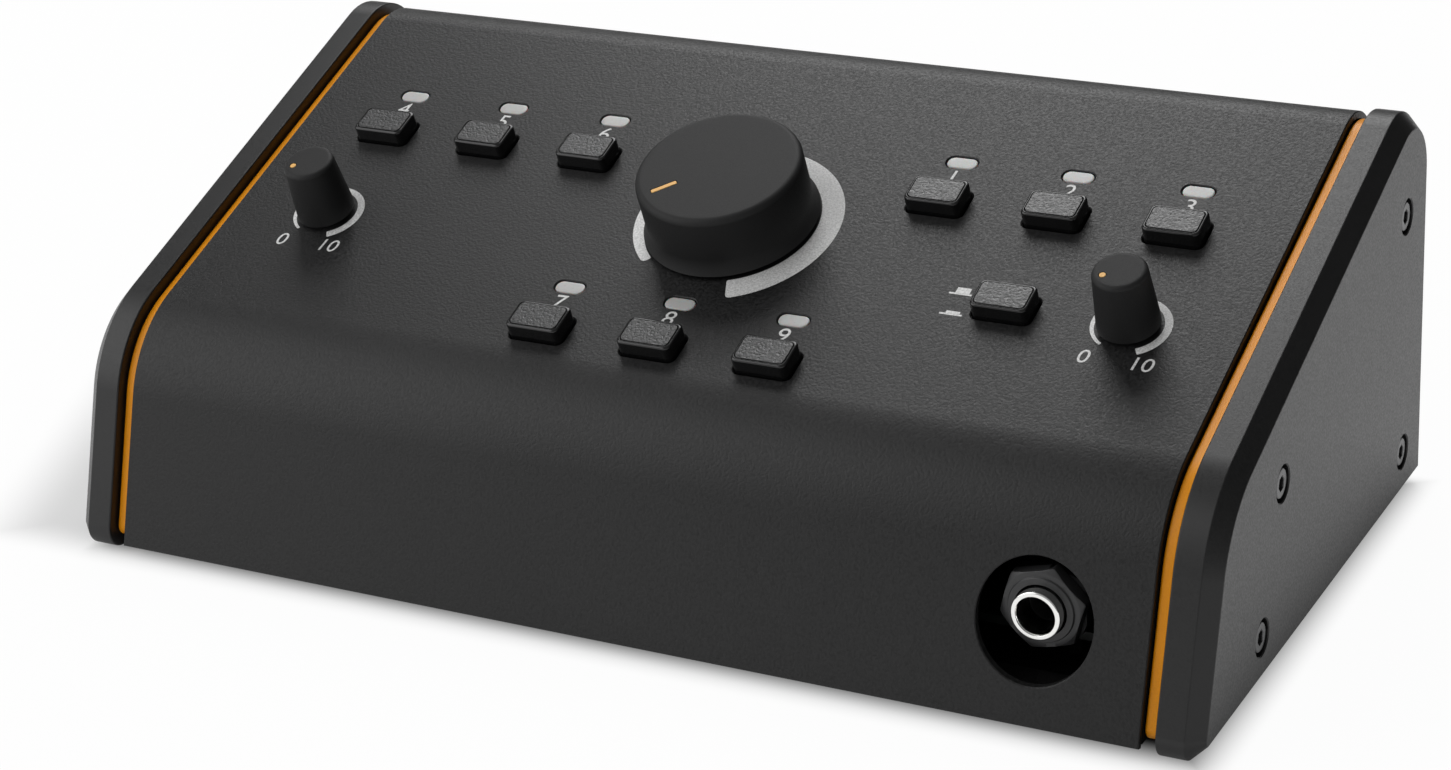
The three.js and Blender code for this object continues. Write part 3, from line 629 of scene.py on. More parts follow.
def finish(
    name,
    colour,
    roughness,
    *,
    metal=0.0,
    shine=0.5,
    grain=0.4,
    variation=0.1,
    relief=0.0,
    drift=0.0,
    spread=0.08,
):
    """Procedural finish: at the size of the grain (mm) the colour varies by the variation and the
    roughness by the spread. Relief (mm) is the grain's height, drift a broader change of colour.
    """
    made = bpy.data.materials.new(name)
    made.use_nodes = True
    tree = made.node_tree
    shader = tree.nodes["Principled BSDF"]
    shader.inputs["Metallic"].default_value = metal
    shader.inputs["Specular IOR Level"].default_value = shine
    places = tree.nodes.new("ShaderNodeTexCoord").outputs["Object"]
    noise = {"Scale": 1 / (grain * METRE), "Detail": fine_detail, "Vector": places}
    fine = add_node(tree, "ShaderNodeTexNoise", noise).outputs["Fac"]
    ramp = add_node(tree, "ShaderNodeValToRGB", {"Fac": fine})
    ends = ((noise_low, 1 - variation), (noise_high, 1 + variation))
    for element, (position, level) in zip(ramp.color_ramp.elements, ends):
        element.position = position
        element.color = (*[part * level for part in colour], 1)
    tone = ramp.outputs["Color"]
    if drift:
        noise = {"Scale": broad_scale, "Detail": broad_detail, "Vector": places}
        broad = add_node(tree, "ShaderNodeTexNoise", noise).outputs["Fac"]
        level = remap(tree, broad, noise_low, noise_high, 1 - drift, 1 + drift)
        tone = add_node(tree, "ShaderNodeVectorMath", {0: tone, "Scale": level}, "SCALE")
        tone = tone.outputs["Vector"]
    tree.links.new(tone, shader.inputs["Base Color"])
    smoothest, roughest = max(roughness - spread, 0.02), min(roughness + spread, 1)
    gloss = remap(tree, fine, noise_low, noise_high, smoothest, roughest)
    tree.links.new(gloss, shader.inputs["Roughness"])
    if relief:
        bump = add_node(tree, "ShaderNodeBump", {"Distance": relief * METRE, "Height": fine})
        tree.links.new(bump.outputs["Normal"], shader.inputs["Normal"])
    return made


powder_coat = finish(
    "powder_coat",
    (0.011, 0.011, 0.0112),
    0.47,
    shine=0.37,
    grain=0.55,
    variation=0.5,
    relief=0.075,
    drift=0.08,
    spread=0.1,
)
plate_coat = finish(
    "plate_coat", (0.012, 0.012, 0.0122), 0.40, shine=0.46, variation=0.2, relief=0.01, drift=0.06
)
tray_coat = finish(
    "tray_coat", (0.006, 0.006, 0.0062), 0.6, shine=0.2, grain=0.5, variation=0.12, relief=0.02
)
accent_coat = finish(
    "accent_coat", (1.0, 0.36, 0.002), 0.38, shine=0.35, grain=0.25, variation=0.05, drift=0.06
)
knob_rubber = finish(
    "knob_rubber", (0.009, 0.009, 0.0092), 0.62, shine=0.38, grain=0.2, variation=0.08, relief=0.003
)
cap_gloss = finish(
    "cap_gloss", (0.006, 0.006, 0.0062), 0.14, grain=0.5, variation=0.06, spread=0.03
)
cap_face = finish(
    "cap_face",
    (0.024, 0.024, 0.0243),
    0.38,
    shine=0.65,
    grain=0.5,
    variation=0.6,
    relief=0.12,
    spread=0.14,
)
inlay = finish("inlay", (0.93, 0.52, 0.15), 0.45, grain=0.2, variation=0.04)
lens = finish("lens", (0.52, 0.52, 0.51), 0.35, grain=0.6, variation=0.03, drift=0.03)
lens_shader = lens.node_tree.nodes["Principled BSDF"]
lens_shader.inputs["Subsurface Weight"].default_value = 0.3
lens_shader.inputs["Subsurface Scale"].default_value = 0.002
ink = finish("ink", (0.72, 0.72, 0.714), 0.5, grain=0.35, variation=0.22, relief=0.01)
steel = finish(
    "steel", (0.42, 0.42, 0.425), 0.32, metal=1.0, grain=0.15, variation=0.08, relief=0.003
)
black_steel = finish(
    "black_steel", (0.10, 0.10, 0.102), 0.34, metal=0.85, grain=0.2, variation=0.12, relief=0.004
)
chrome = finish(
    "chrome", (0.86, 0.86, 0.84), 0.07, metal=1.0, grain=0.8, variation=0.02, spread=0.02
)
nut_metal = finish("nut_metal", (0.038, 0.038, 0.039), 0.42, metal=0.1, grain=0.2, relief=0.004)
foot_rubber = finish(
    "foot_rubber", (0.012, 0.012, 0.012), 0.8, grain=0.35, variation=0.15, relief=0.01
)
moulding = finish("moulding", (0.009, 0.009, 0.0092), 0.5, grain=0.3, relief=0.006)
board = finish(
    "board", (0.007, 0.009, 0.008), 0.4, grain=1.4, variation=0.3, relief=0.02, drift=0.1
)
ribbon = finish("ribbon", (0.40, 0.40, 0.39), 0.5, grain=0.9, variation=0.12, relief=0.05)

# The CAD's own pieces, of which those without a finer one are shown
cad_finishes = {
    "control_board": board,
    "main_board": board,
    "ribbon_cable": ribbon,
    "headphone_socket": moulding,
    "base_tray": tray_coat,
}
for node_name, node in frame["nodes"].items():
    for material_slot in node.material_slots:
        material_slot.material = cad_finishes.get(node_name, steel)


# Cover: the bent sheet, laid out flat as X and the length S along its outside, then folded
def cover_stations():
    """Length up to each point along the outside of the bent sheet, the point and its normal."""
    corners = body_corners(0, 0)
    flange_top = corners[2][1] - back_bend * math.tan((math.pi / 2 + panel_slope) / 2)
    path = [(*corners[0], 0), (*corners[3], front_bend), (*corners[2], back_bend)]
    path.append((body_depth, flange_top - cover_flange, 0))
    points = open_path(path, ARC)
    front, slope = math.pi - front_lean, math.pi / 2 + panel_slope
    angles = [front]
    for start, end in ((front, slope), (slope, 0.0)):
        angles += [start + (end - start) * step / ARC for step in range(ARC + 1)]
    angles.append(0.0)
    stations, length = [], 0.0
    for place, (point, angle) in enumerate(zip(points, angles)):
        if place:
            length += (point - points[place - 1]).length
        stations.append((length, point, polar(1, angle)))
    return stations, flange_top


stations, flange_top = cover_stations()
lengths = [station[0] for station in stations]
slope_start = lengths[ARC + 1]
slope_start_v = front_bend * math.tan((math.pi / 2 - panel_slope - front_lean) / 2)
flange_start = lengths[-2]


def on_sheet(x, s, h):
    """Place at X and the length S on the folded sheet, at height H over its outside."""
    after = min(max(bisect.bisect_left(lengths, s - 1e-4), 1), len(lengths) - 1)
    (low, point_a, normal_a), (high, point_b, normal_b) = stations[after - 1], stations[after]
    share = (s - low) / (high - low)
    point = point_a.lerp(point_b, share)
    normal = normal_a.lerp(normal_b, share).normalized()
    at = point + normal * h
    return metres(x, at.x, at.y)


def sheet_s(v):
    return slope_start + v - slope_start_v


def sheet_outline(inset):
    side = half_width - inset
    steps = [inset, *lengths[1:-1], lengths[-1] - inset]
    return [Vector((side, s)) for s in steps] + [Vector((-side, s)) for s in reversed(steps)]


# Rounded edge of the sheet from its inside to its outside: how far it is drawn in, and height
edge_path = [
    (sheet_edge, -cover_sheet),
    (0, sheet_edge - cover_sheet),
    (0, -sheet_edge),
    (sheet_edge, 0),
]


def sheet_slot(width, height, corner, gap, u, v):
    """Hole in the sheet for a piece of these sizes with a gap all round it."""
    stack = []
    for grow, h in edge_path:
        more = gap + grow
        hole = rectangle(width + 2 * more, height + 2 * more, corner + more, u, sheet_s(v))
        stack.append((hole, h))
    return stack


upper_columns = [side_column - button_pitch * place for place in range(3)]
buttons = {
    "stereo_button": (-upper_columns[0], upper_row),
    "aux_button": (-upper_columns[1], upper_row),
    "pair_button": (-upper_columns[2], upper_row),
    "speaker_1_button": (upper_columns[2], upper_row),
    "speaker_2_button": (upper_columns[1], upper_row),
    "speaker_3_button": (upper_columns[0], upper_row),
    "mono_button": (-button_pitch, lower_row),
    "dim_button": (0, lower_row),
    "mute_button": (button_pitch, lower_row),
    "listen_button": (upper_columns[1], side_row),
}
lamps = {
    "left_light_pipe": ([-column for column in upper_columns], upper_row + lamp_rise),
    "right_light_pipe": (upper_columns[::-1], upper_row + lamp_rise),
    "centre_light_pipe": ([-button_pitch, 0, button_pitch], lower_row + lamp_rise),
}
knobs = {
    "aux_level": (-side_column, side_row),
    "main_level": (0, main_row),
    "phones_level": (side_column, side_row),
}
small_knobs = ("aux_level", "phones_level")


def phones_mouth(grow, h):
    """Outline at height h in the sheet of the hole cut level through the leaning front."""
    points = []
    for spoke in circle(phones_hole + grow):
        s = (phones_hole_height + spoke.y) / math.cos(front_lean) - h * math.tan(front_lean)
        points.append(Vector((side_column + spoke.x, min(s, lengths[1] - 0.05))))
    return points


def make_cover():
    form = Form()
    holes = []
    for u, v in buttons.values():
        holes.append(sheet_slot(cap_width, cap_height, cap_corner, cap_gap, u, v))
    for columns, v in lamps.values():
        holes += [sheet_slot(lamp_width, lamp_height, lamp_corner, lamp_gap, u, v) for u in columns]
    for u, v in knobs.values():
        holes.append([(circle(bushing_hole + grow, 48, u, sheet_s(v)), h) for grow, h in edge_path])
    holes.append([(phones_mouth(grow, h), h) for grow, h in edge_path])
    for side in (-1, 1):
        at = (side * rear_screw_column, flange_start + rear_screw_drop)
        holes.append(turned_stack([(screw_hole, -cover_sheet), (countersink, 0)], 32, *at))
    stack = [(sheet_outline(inset), h) for inset, h in edge_path]
    reach = half_width - sheet_edge
    folds = [((-reach, s), (reach, s)) for s in lengths[1:-1]]
    form.body(stack, on_sheet, through=holes, lines=folds)
    lip_bottom = tray_sheet + inner_gap
    lip_start = (lip_bottom + cover_sheet) * math.tan(front_lean) + cover_sheet / 2
    lip = rectangle(2 * inner_half, cover_lip, sheet_corner, 0, lip_start + cover_lip / 2)
    form.body(straight(lip, lip_bottom, lip_bottom + cover_sheet), upright(0, 0))
    stud = straight(circle(stud_radius, 24), inner_gap - board_depth, stud_top)
    for u, v in studs:
        form.body(stud, on_panel(u, v))
    form.done("cover", [powder_coat], ["top_cover"])


make_cover()


# Side plates, accent plates and their screws
accent_start = half_width + side_gap
accent_face = accent_start + accent_plate
side_start = accent_face + side_gap
side_face = side_start + side_plate


def accent_outline(inset):
    return body_outline(accent_inset + inset, accent_lift + inset, accent_toe - inset)


def side_outline(inset):
    return body_outline(inset - side_proud, inset - side_drop, side_toe - inset)


def make_side(name, side):
    places = side_screws.values()
    form = Form()
    path = open_path(
        [
            (accent_rim, accent_start, 0),
            (0, accent_start, accent_edge),
            (0, accent_face, accent_edge),
            (accent_rim, accent_face, 0),
        ],
        8,
    )
    holes = [straight(circle(screw_hole, 32, y, z), accent_start, accent_face) for y, z in places]
    form.body(stack_of(accent_outline, path), on_side(side), through=holes)
    form.done(f"{name}_accent", [accent_coat], [f"{name}_accent_plate"])

    form = Form()
    path = open_path(
        [
            (plate_rim, side_start, 0),
            (0, side_start, plate_edge),
            (0, side_face - side_chamfer, face_edge),
            (side_chamfer, side_face, face_edge),
            (side_chamfer + face_rim, side_face, 0),
        ]
    )
    recess_floor = side_face - screw_recess_depth
    hole_path = [
        (screw_hole, side_start),
        (screw_hole, recess_floor),
        (screw_recess, recess_floor),
        (screw_recess, side_face - screw_recess_edge),
        (screw_recess + screw_recess_edge, side_face),
    ]
    holes = [turned_stack(hole_path, 64, y, z) for y, z in places]
    form.body(stack_of(side_outline, path), on_side(side), through=holes)
    form.done(f"{name}_plate", [plate_coat], [f"{name}_side_plate"])

    seat = recess_floor + inner_gap
    length = seat - (half_width - tray_end) + screw_reach
    for place, (y, z) in side_screws.items():
        form = Form()
        make_screw(form, on_side(side), length, screw_head_height, seat, y, z)
        form.done(f"{name}_{place}_bolt", [black_steel], [f"{name}_{place}_screw"])


def make_screw(form, place, length, height, seat, x=0.0, y=0.0):
    """Socket screw whose head rests on the seat and whose tip lies this length below it."""
    tip, top = seat - length, seat + height
    path = open_path(
        [
            (screw_tip, tip, 0),
            (screw_radius, tip + screw_tip, screw_round),
            (screw_radius, seat, 0.02),
            (screw_head - screw_edge, seat, screw_round),
            (screw_head, seat + screw_edge, screw_round),
            (screw_head, top, 0.35),
            (screw_head - screw_head_rim, top, 0),
        ]
    )
    socket = hexagon(screw_socket, screw_socket_turn, x, y)
    recess = [
        (socket, top - screw_socket_depth),
        (socket, top - screw_socket_edge),
        (hexagon(screw_socket + screw_socket_edge, screw_socket_turn, x, y), top),
    ]
    form.body(turned_stack(path, 48, x, y), place, top=[recess])


for side_name, side_sign in (("left", -1), ("right", 1)):
    make_side(side_name, side_sign)


# Knobs with inlaid marks
def groove_of(mark, top):
    """Groove for a mark, which is given as a function that returns its outline grown by so much."""
    return [
        (mark(inlay_gap), top - inlay_depth - inlay_gap),
        (mark(inlay_gap), top - inlay_edge),
        (mark(inlay_gap + inlay_edge), top),
    ]


def make_mark(name, mark, top, place, node):
    form = Form()
    stack = [*straight(mark(0), top - inlay_depth, top - inlay_edge), (mark(-inlay_edge), top)]
    form.body(stack, place)
    form.done(name, [inlay], [node])


def make_main_knob():
    form = Form()
    path = [(main_radius + main_flare - main_foot_rim, knob_lift)]
    for step in range(main_flare_steps + 1):
        share = step / main_flare_steps
        height = main_flare_foot + (main_flare_height - main_flare_foot) * share
        path.append((main_radius + main_flare * (1 - share) ** 2, knob_lift + height))
    path += open_path(
        [
            (main_radius, main_flare_height + 2, 0),
            (main_radius, main_top, main_edge),
            (main_radius - main_top_rim, main_top, 0),
        ],
        8,
    )
    roof = main_top - main_roof
    hollow = straight(circle(main_radius - main_wall), knob_lift, roof)
    core = straight(circle(main_core, 48), knob_seat, roof + overlap)

    def mark(grow):
        length, width = main_mark_length + 2 * grow, main_mark_width + 2 * grow
        return rectangle(length, width, main_mark_corner, main_mark_place, 0, 4)

    place = on_panel(0, main_row, main_turn)
    form.body(turned_stack(path, 128), place, top=[groove_of(mark, main_top)], bottom=[hollow])
    form.body(core, place)
    form.done("main_knob", [knob_rubber], ["main_level_knob"])
    make_mark("main_mark", mark, main_top, place, "main_level_pointer")


def make_small_knob(name, u, v):
    form = Form()
    path = open_path(
        [
            (small_foot - small_foot_rim, knob_lift, 0),
            (small_foot, knob_lift, small_foot_edge),
            (small_radius, small_top, small_edge),
            (small_radius - small_top_rim, small_top, 0),
        ],
        8,
    )
    hollow = straight(circle(small_hollow, 48), knob_lift, knob_seat)

    def mark(grow):
        return circle(small_mark_radius + grow, 32, small_mark_place, 0)

    place = on_panel(u, v, small_turn)
    form.body(turned_stack(path), place, top=[groove_of(mark, small_top)], bottom=[hollow])
    form.done(f"{name}_cap", [knob_rubber], [f"{name}_knob"])
    make_mark(f"{name}_mark", mark, small_top, place, f"{name}_pointer")


make_main_knob()
for knob_name in small_knobs:
    make_small_knob(knob_name, *knobs[knob_name])


# Button caps
def cap_outline(inset):
    corner = cap_corner - cap_corner_loss * inset
    return rectangle(cap_width - 2 * inset, cap_height - 2 * inset, corner)


def make_cap(name, u, v):
    """Cap whose last rings and top face have the finish of the face."""
    form = Form()
    place = on_panel(u, v)
    flange_face = -(cover_sheet + inner_gap)
    flange = rectangle(
        cap_width + 2 * cap_flange, cap_height + 2 * cap_flange, cap_corner + cap_flange
    )
    form.body(straight(flange, flange_face - cap_flange_thickness, flange_face), place)
    rim = cap_proud - cap_rim_drop
    path = open_path(
        [
            (0, flange_face, 0),
            (0, rim, cap_edge),
            (cap_bevel, rim, 0.06),
            (cap_bevel + 0.06, rim - cap_groove_depth, 0),
            (cap_bevel + cap_groove_width, cap_proud, 0.08),
            (cap_bevel + 0.9, cap_proud, 0),
        ]
    )
    stack = stack_of(cap_outline, path)
    face_ring = len(stack) - 3
    form.wall(stack[: face_ring + 1], place)
    form.face(*stack[0], place)
    form.finish = 1
    form.wall(stack[face_ring:], place)
    form.face(*stack[-1], place)
    form.finish = 0
    stem = straight(circle(cap_stem, 24), switch_height - board_depth, flange_face - 0.6)
    form.body(stem, place)
    form.done(f"{name}_pad", [cap_gloss, cap_face], [name])


for button_name, button_place in buttons.items():
    make_cap(button_name, *button_place)


# Lamps
def lamp_outline(inset):
    corner = max(lamp_corner - inset, 0.3)
    return rectangle(lamp_width - 2 * inset, lamp_height - 2 * inset, corner)


def make_lamps(name, columns, v):
    form = Form()
    path = open_path(
        [(0, lamp_rail_top, 0), (0, -lamp_sink, lamp_edge), (0.8, 0.02 - lamp_sink, 0)]
    )
    window = stack_of(lamp_outline, path)
    leg = straight(circle(lamp_leg, 24), inner_gap - board_depth, lamp_rail_bottom + overlap)
    for u in columns:
        form.body(window, on_panel(u, v))
        form.body(leg, on_panel(u, v))
    width, middle = columns[-1] - columns[0] + lamp_width, (columns[0] + columns[-1]) / 2
    rail = rectangle(width, lamp_rail_width, 0.3, middle, 0)
    form.body(straight(rail, lamp_rail_bottom, lamp_rail_top + 0.1), on_panel(0, v))
    form.done(f"{name}_lenses", [lens], [name])


for strip_name, strip_places in lamps.items():
    make_lamps(strip_name, *strip_places)


# Headphone socket: ferrule and nut
def nut_outline(limit):
    """Hexagon whose corners are cut off by a circle."""
    points = []
    for step in range(nut_steps):
        angle = 2 * math.pi * step / nut_steps
        face_angle = (angle - nut_turn + math.pi / 6) % (math.pi / 3) - math.pi / 6
        points.append(polar(min(nut_flats / 2 / math.cos(face_angle), limit), angle))
    return points


def make_phones():
    back = -(nut_setback + nut_thickness)
    form = Form()
    path = open_path(
        [
            (ferrule_radius, back, 0),
            (ferrule_radius, 0, 0.35),
            (ferrule_mouth + 0.05, 0, 0.12),
            (ferrule_mouth - 0.12, -0.3, 0.3),
            (plug_radius, -1.6, 0.3),
            (plug_radius, back, 0),
        ],
        6,
    )
    form.ring(turned_stack(path), in_phones)
    form.done("ferrule", [chrome], ["headphone_ferrule"])

    form = Form()
    across = nut_flats / math.sqrt(3)
    shoulder = -nut_setback - nut_collar_height
    stack = [(nut_outline(across), back)]
    for step in range(nut_chamfer_steps + 1):
        share = step / nut_chamfer_steps
        limit = across + (nut_flats / 2 - 0.05 - across) * share
        stack.append((nut_outline(limit), shoulder - nut_chamfer * (1 - share)))
    collar_path = [
        (nut_collar + 0.1, shoulder),
        (nut_collar, shoulder + 0.1),
        (nut_collar, -nut_setback - 0.12),
        (nut_collar - 0.12, -nut_setback),
    ]
    stack += turned_stack(collar_path, nut_steps)
    form.body(stack, in_phones, through=[straight(circle(nut_bore), back, -nut_setback)])
    form.done("nut", [nut_metal], ["headphone_nut"])


make_phones()


# Feet and the screws of the cover
def make_feet():
    path = open_path(
        [
            (foot_low_radius - 1, foot_low, 0),
            (foot_low_radius, foot_low, foot_edge),
            (foot_radius, foot_high, 0.2),
            (foot_radius - 0.6, foot_high, 0),
        ]
    )
    dimple_path = [(dimple_radius, foot_low), (dimple_floor, foot_low + dimple_depth)]
    dimple = turned_stack(dimple_path, 48)
    for depth_name, y in (("front", foot_inset), ("rear", body_depth - foot_inset)):
        for side_name, side in (("left", -1), ("right", 1)):
            form = Form()
            place = upright(side * (half_width - foot_inset), y)
            form.body(turned_stack(path, 64), place, bottom=[dimple])
            name = f"{depth_name}_{side_name}"
            form.done(f"{name}_pad", [foot_rubber], [f"{name}_foot"])


def under_lip(side):
    return lambda a, b, h: metres(side * lip_screw_column + a, lip_screw_row + b, -inner_gap - h)


def make_cover_screws():
    path = open_path(
        [
            (screw_tip, -rear_screw_length, 0),
            (screw_radius, screw_tip - rear_screw_length, screw_round),
            (screw_radius, -rear_screw_neck, screw_round),
            (screw_head, -0.05, screw_round),
            (rear_screw_face, 0, 0),
        ]
    )
    socket = hexagon(screw_socket, rear_socket_turn)
    recess = straight(socket, -rear_socket_depth, -rear_socket_edge)
    recess.append((hexagon(screw_socket + rear_socket_edge, rear_socket_turn), 0))
    for side_name, side in (("left", -1), ("right", 1)):
        form = Form()
        make_screw(form, under_lip(side), lip_screw_length, lip_screw_head, 0)
        form.done(
            f"{side_name}_cover_bolt", [black_steel], [f"{side_name}_cover_screw"]
        )
        form = Form()
        place = on_rear(-side * rear_screw_column, flange_top - rear_screw_drop)
        form.body(turned_stack(path, 48), place, top=[recess])
        form.done(f"{side_name}_rear_bolt", [black_steel], [f"{side_name}_rear_screw"])


make_feet()
make_cover_screws()


# Back: panel and line sockets
def socket_rows(rows):
    return [socket_low + socket_pitch * row for row in range(rows)]


def make_back():
    face = -rear_panel_face
    inner = face - rear_panel_sheet
    low, high = tray_sheet + inner_gap, flange_top - cover_sheet
    width, height, middle = 2 * inner_half, high - low, (low + high) / 2
    whole = rectangle(width, height, rear_panel_corner, 0, middle)
    drawn_in = 2 * rear_panel_edge
    front = rectangle(width - drawn_in, height - drawn_in, rear_panel_corner, 0, middle)
    stack = [(whole, inner), (whole, face - rear_panel_edge), (front, face)]
    holes = []
    for x, rows, radius, *_ in sockets.values():
        path = [(radius, inner), (radius, face - rear_hole_edge), (radius + rear_hole_edge, face)]
        holes += [turned_stack(path, 64, x, z) for z in socket_rows(rows)]
    for side in (-1, 1):
        at = (side * rear_screw_column, flange_top - rear_screw_drop)
        holes.append(straight(circle(screw_hole, 32, *at), inner, face))
    form = Form()
    form.body(stack, on_rear(0, 0), through=holes)
    form.done("back_panel", [powder_coat], ["rear_panel"])


def make_socket(name, x, rows, width, depth, collar, bore):
    form = Form()
    place = on_rear(x, 0)
    heights = socket_rows(rows)
    front = -(rear_panel_face + rear_panel_sheet + inner_gap)
    floor = front - depth + socket_wall
    top = heights[-1] + heights[0] - socket_floor
    block = rectangle(width, top - socket_floor, 0.4, 0, (top + socket_floor) / 2)
    bores = [straight(circle(bore, 48, 0, z), floor, front) for z in heights]
    form.body([(block, h) for h in (front - depth, front - 0.2, front)], place, top=bores)
    path = open_path(
        [
            (collar, front, 0),
            (collar, 0, socket_edge),
            (bore + 0.5, 0, 0.15),
            (bore, -0.5, 0.2),
            (bore, front, 0),
        ],
        5,
    )
    for z in heights:
        form.ring(turned_stack(path, 64, 0, z), place)
    if name == "power_socket":
        path = open_path(
            [
                (power_pin, floor - 0.7, 0),
                (power_pin, -rear_panel_face, socket_edge),
                (power_pin - 0.5, -rear_panel_face, 0),
            ],
            5,
        )
        form.finish = 1
        form.body(turned_stack(path, 32, 0, heights[0]), place)
    form.done(f"{name}_shell", [moulding, steel], [name])


make_back()
for socket_name, (socket_x, socket_count, _, *socket_sizes) in sockets.items():
    make_socket(socket_name, socket_x, socket_count, *socket_sizes)


# Printed marks on the panel
def thin(name, outlines, place):
    """Print as a thin layer just over the panel."""
    form = Form()
    for outline in outlines:
        form.body(straight(outline, print_low, print_high), place)
    form.done(name, [ink], rider="chassis")


def scale_outline(inner, outer_start, outer_end, start, end, steps, corner):
    """Wedge ring that widens clockwise from the start angle to the end angle."""
    outer, inner_side = [], []
    for step in range(steps + 1):
        share = step / steps
        angle = math.radians(start + (end - start) * share)
        radius = outer_start + (outer_end - outer_start) * (1 - (1 - share) ** scale_growth)
        rounding = corner if step in (0, steps) else 0
        outer.append((*polar(radius, angle), rounding))
        inner_side.append((*polar(inner, angle), rounding / 2))
    return closed_outline([*inner_side, *outer[::-1]], 5)


def make_scales():
    thin("main_level_scale", [scale_outline(*main_scale)], on_panel(0, main_row))
    for name in small_knobs:
        thin(f"{name}_scale", [scale_outline(*small_scale)], on_panel(*knobs[name]))


numbered_buttons = (
    "speaker_1_button",
    "speaker_2_button",
    "speaker_3_button",
    "stereo_button",
    "aux_button",
    "pair_button",
    "mono_button",
    "dim_button",
    "mute_button",
)


def make_numbers():
    """Plain numbers: one for each button that has a lamp, and the two ends of the small dials."""
    texts = []
    for number, name in enumerate(numbered_buttons, 1):
        u, v = buttons[name]
        texts.append((str(number), u + number_across, v + number_rise, number_height))
    for name in small_knobs:
        u, v = knobs[name]
        for text, across in dial_numbers:
            texts.append((text, u + across, v - dial_number_drop, dial_number_height))
    joined = bmesh.new()
    for text, u, v, height in texts:
        curve = bpy.data.curves.new("numbers", "FONT")
        curve.body = text
        curve.size = height * METRE * type_size
        curve.align_x = "CENTER"
        curve.shear = type_slant
        curve.extrude = (print_high - print_low) / 2 * METRE
        shape = add_object("numbers", curve)
        bpy.context.view_layer.update()
        shown = shape.evaluated_get(bpy.context.evaluated_depsgraph_get())
        data = bpy.data.meshes.new_from_object(shown)
        place = on_panel(u, v)
        for vertex in data.vertices:
            a, b, h = vertex.co / METRE
            vertex.co = place(a, b, h + (print_high + print_low) / 2)
        joined.from_mesh(data)
        bpy.data.meshes.remove(data)
        bpy.data.objects.remove(shape)
        bpy.data.curves.remove(curve)
    data = bpy.data.meshes.new("button_numbers")
    joined.to_mesh(data)
    joined.free()
    data.materials.clear()
    data.materials.append(ink)
    for polygon in data.polygons:
        polygon.material_index = 0
    place_piece("button_numbers", data, rider="chassis")


def make_switch_signs():
    """Signs of a latching switch, out and in: a bar with a high or a low block on it."""
    outlines = []
    for u, v, rise in switch_signs:
        outlines.append(rectangle(sign_width, sign_stroke, sign_corner, u, v, 2))
        block_v = v + sign_stroke / 2 + rise / 2 - sign_overlap
        outlines.append(rectangle(sign_block, rise, sign_corner, u + sign_block_shift, block_v, 2))
    thin("switch_signs", outlines, on_panel(0, 0))


make_scales()
make_numbers()
make_switch_signs()


# Floor, light and camera
def make_floor():
    form = bmesh.new()
    bmesh.ops.create_grid(form, x_segments=2, y_segments=2, size=floor_size)
    data = bpy.data.meshes.new("floor")
    form.to_mesh(data)
    form.free()
    floor = add_object("floor", data)
    made = bpy.data.materials.new("studio_floor")
    made.use_nodes = True
    tree = made.node_tree
    shader = tree.nodes["Principled BSDF"]
    shader.inputs["Roughness"].default_value = floor_roughness
    shader.inputs["Specular IOR Level"].default_value = floor_shine
    white = tree.nodes.new("ShaderNodeEmission")
    rays = tree.nodes.new("ShaderNodeLightPath").outputs
    place = tree.nodes.new("ShaderNodeNewGeometry").outputs["Position"]

    # Painted shadow: the floor's colour is darkened under the object and fades out towards the
    # edges of the CAD's box
    box_edge = (cad_box[1].x, cad_box[1].y, 0)
    outside = vector_of(tree, "SUBTRACT", vector_of(tree, "ABSOLUTE", place), box_edge)
    parts = add_node(tree, "ShaderNodeSeparateXYZ", {"Vector": outside}).outputs
    nearest = number_of(tree, "MAXIMUM", parts["X"], parts["Y"])
    colour = remap(tree, nearest, -painted_shadow_fade, 0, painted_shadow_colour, floor_colour)
    tree.links.new(colour, shader.inputs["Base Color"])

    # White past the shadow's edges, for the rays that see the floor
    farthest = None
    for direction, start, length in shadow_edges:
        along = vector_of(tree, "DOT_PRODUCT", place, direction, output="Value")
        past = number_of(tree, "MULTIPLY_ADD", along, 1 / length, -start / length)
        farthest = past if farthest is None else number_of(tree, "MAXIMUM", farthest, past)
    reflected = rays["Is Glossy Ray"]
    fade_end = number_of(tree, "MULTIPLY_ADD", reflected, shadow_in_reflections, 1)
    fade = remap(tree, farthest, 0, fade_end, 0, floor_glow, "SMOOTHSTEP")
    seen = number_of(tree, "MAXIMUM", rays["Is Camera Ray"], reflected)
    seen = number_of(tree, "MAXIMUM", seen, rays["Is Transmission Ray"])
    share = number_of(tree, "MULTIPLY", seen, fade)
    shaders = {"Fac": share, 1: shader.outputs["BSDF"], 2: white.outputs["Emission"]}
    mix = add_node(tree, "ShaderNodeMixShader", shaders)
    tree.links.new(mix.outputs["Shader"], tree.nodes["Material Output"].inputs["Surface"])
    data.materials.append(made)


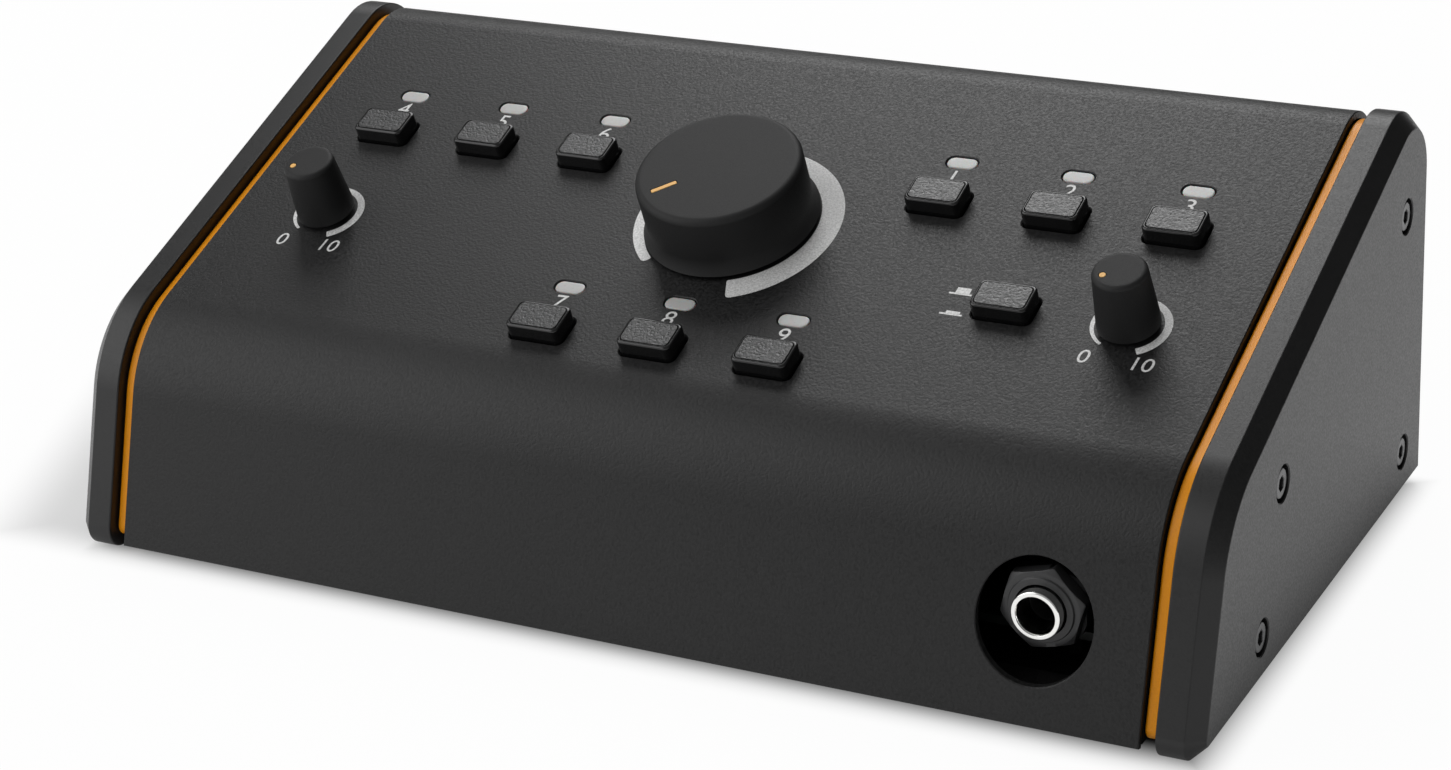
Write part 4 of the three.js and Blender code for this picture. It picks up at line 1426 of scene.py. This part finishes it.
def make_world():
    """Fill light that is stronger from one side, behind a background that the camera sees white."""
    world = bpy.data.worlds.new("studio")
    bpy.context.scene.world = world
    world.use_nodes = True
    tree = world.node_tree
    fill = tree.nodes["Background"]
    fill.inputs["Color"].default_value = (1, 1, 1, 1)
    direction = tree.nodes.new("ShaderNodeTexCoord").outputs["Generated"]
    toward = vector_of(tree, "DOT_PRODUCT", direction, fill_from, output="Value")
    strength = remap(tree, toward, -1, 1, fill_least, fill_most)
    tree.links.new(strength, fill.inputs["Strength"])
    white = add_node(tree, "ShaderNodeBackground", {"Color": (1, 1, 1, 1)})
    rays = tree.nodes.new("ShaderNodeLightPath").outputs
    shaders = {
        "Fac": rays["Is Camera Ray"],
        1: fill.outputs["Background"],
        2: white.outputs["Background"],
    }
    mix = add_node(tree, "ShaderNodeMixShader", shaders)
    tree.links.new(mix.outputs["Shader"], tree.nodes["World Output"].inputs["Surface"])


def make_light(name, place, side, watts):
    data = bpy.data.lights.new(name, "AREA")
    data.shape = "RECTANGLE"
    data.size = data.size_y = side
    data.energy = watts
    made = add_object(name, data)
    made.location = place
    made.rotation_mode = "QUATERNION"
    made.rotation_quaternion = (light_aim - Vector(place)).to_track_quat("-Z", "Y")


def make_camera():
    right = Vector((math.cos(camera_azimuth), math.sin(camera_azimuth), 0))
    level_back = Vector((math.sin(camera_azimuth), -math.cos(camera_azimuth), 0))
    back = level_back * math.cos(camera_elevation)
    back.z = math.sin(camera_elevation)
    up = back.cross(right)
    turned_right = right * math.cos(camera_roll) + up * math.sin(camera_roll)
    turned_up = up * math.cos(camera_roll) - right * math.sin(camera_roll)
    data = bpy.data.cameras.new("camera")
    data.sensor_fit = "HORIZONTAL"
    data.sensor_width = sensor_width
    data.lens = focal_length / picture_width * sensor_width
    data.clip_start, data.clip_end = camera_range
    camera = add_object("camera", data)
    turn = Matrix((turned_right, turned_up, back)).transposed().to_4x4()
    camera.matrix_world = Matrix.Translation(camera_place) @ turn
    bpy.context.scene.camera = camera


make_floor()
make_world()
for light_name, light_values in lights.items():
    make_light(light_name, *light_values)
make_camera()
bpy.context.scene.view_settings.view_transform = "Standard"
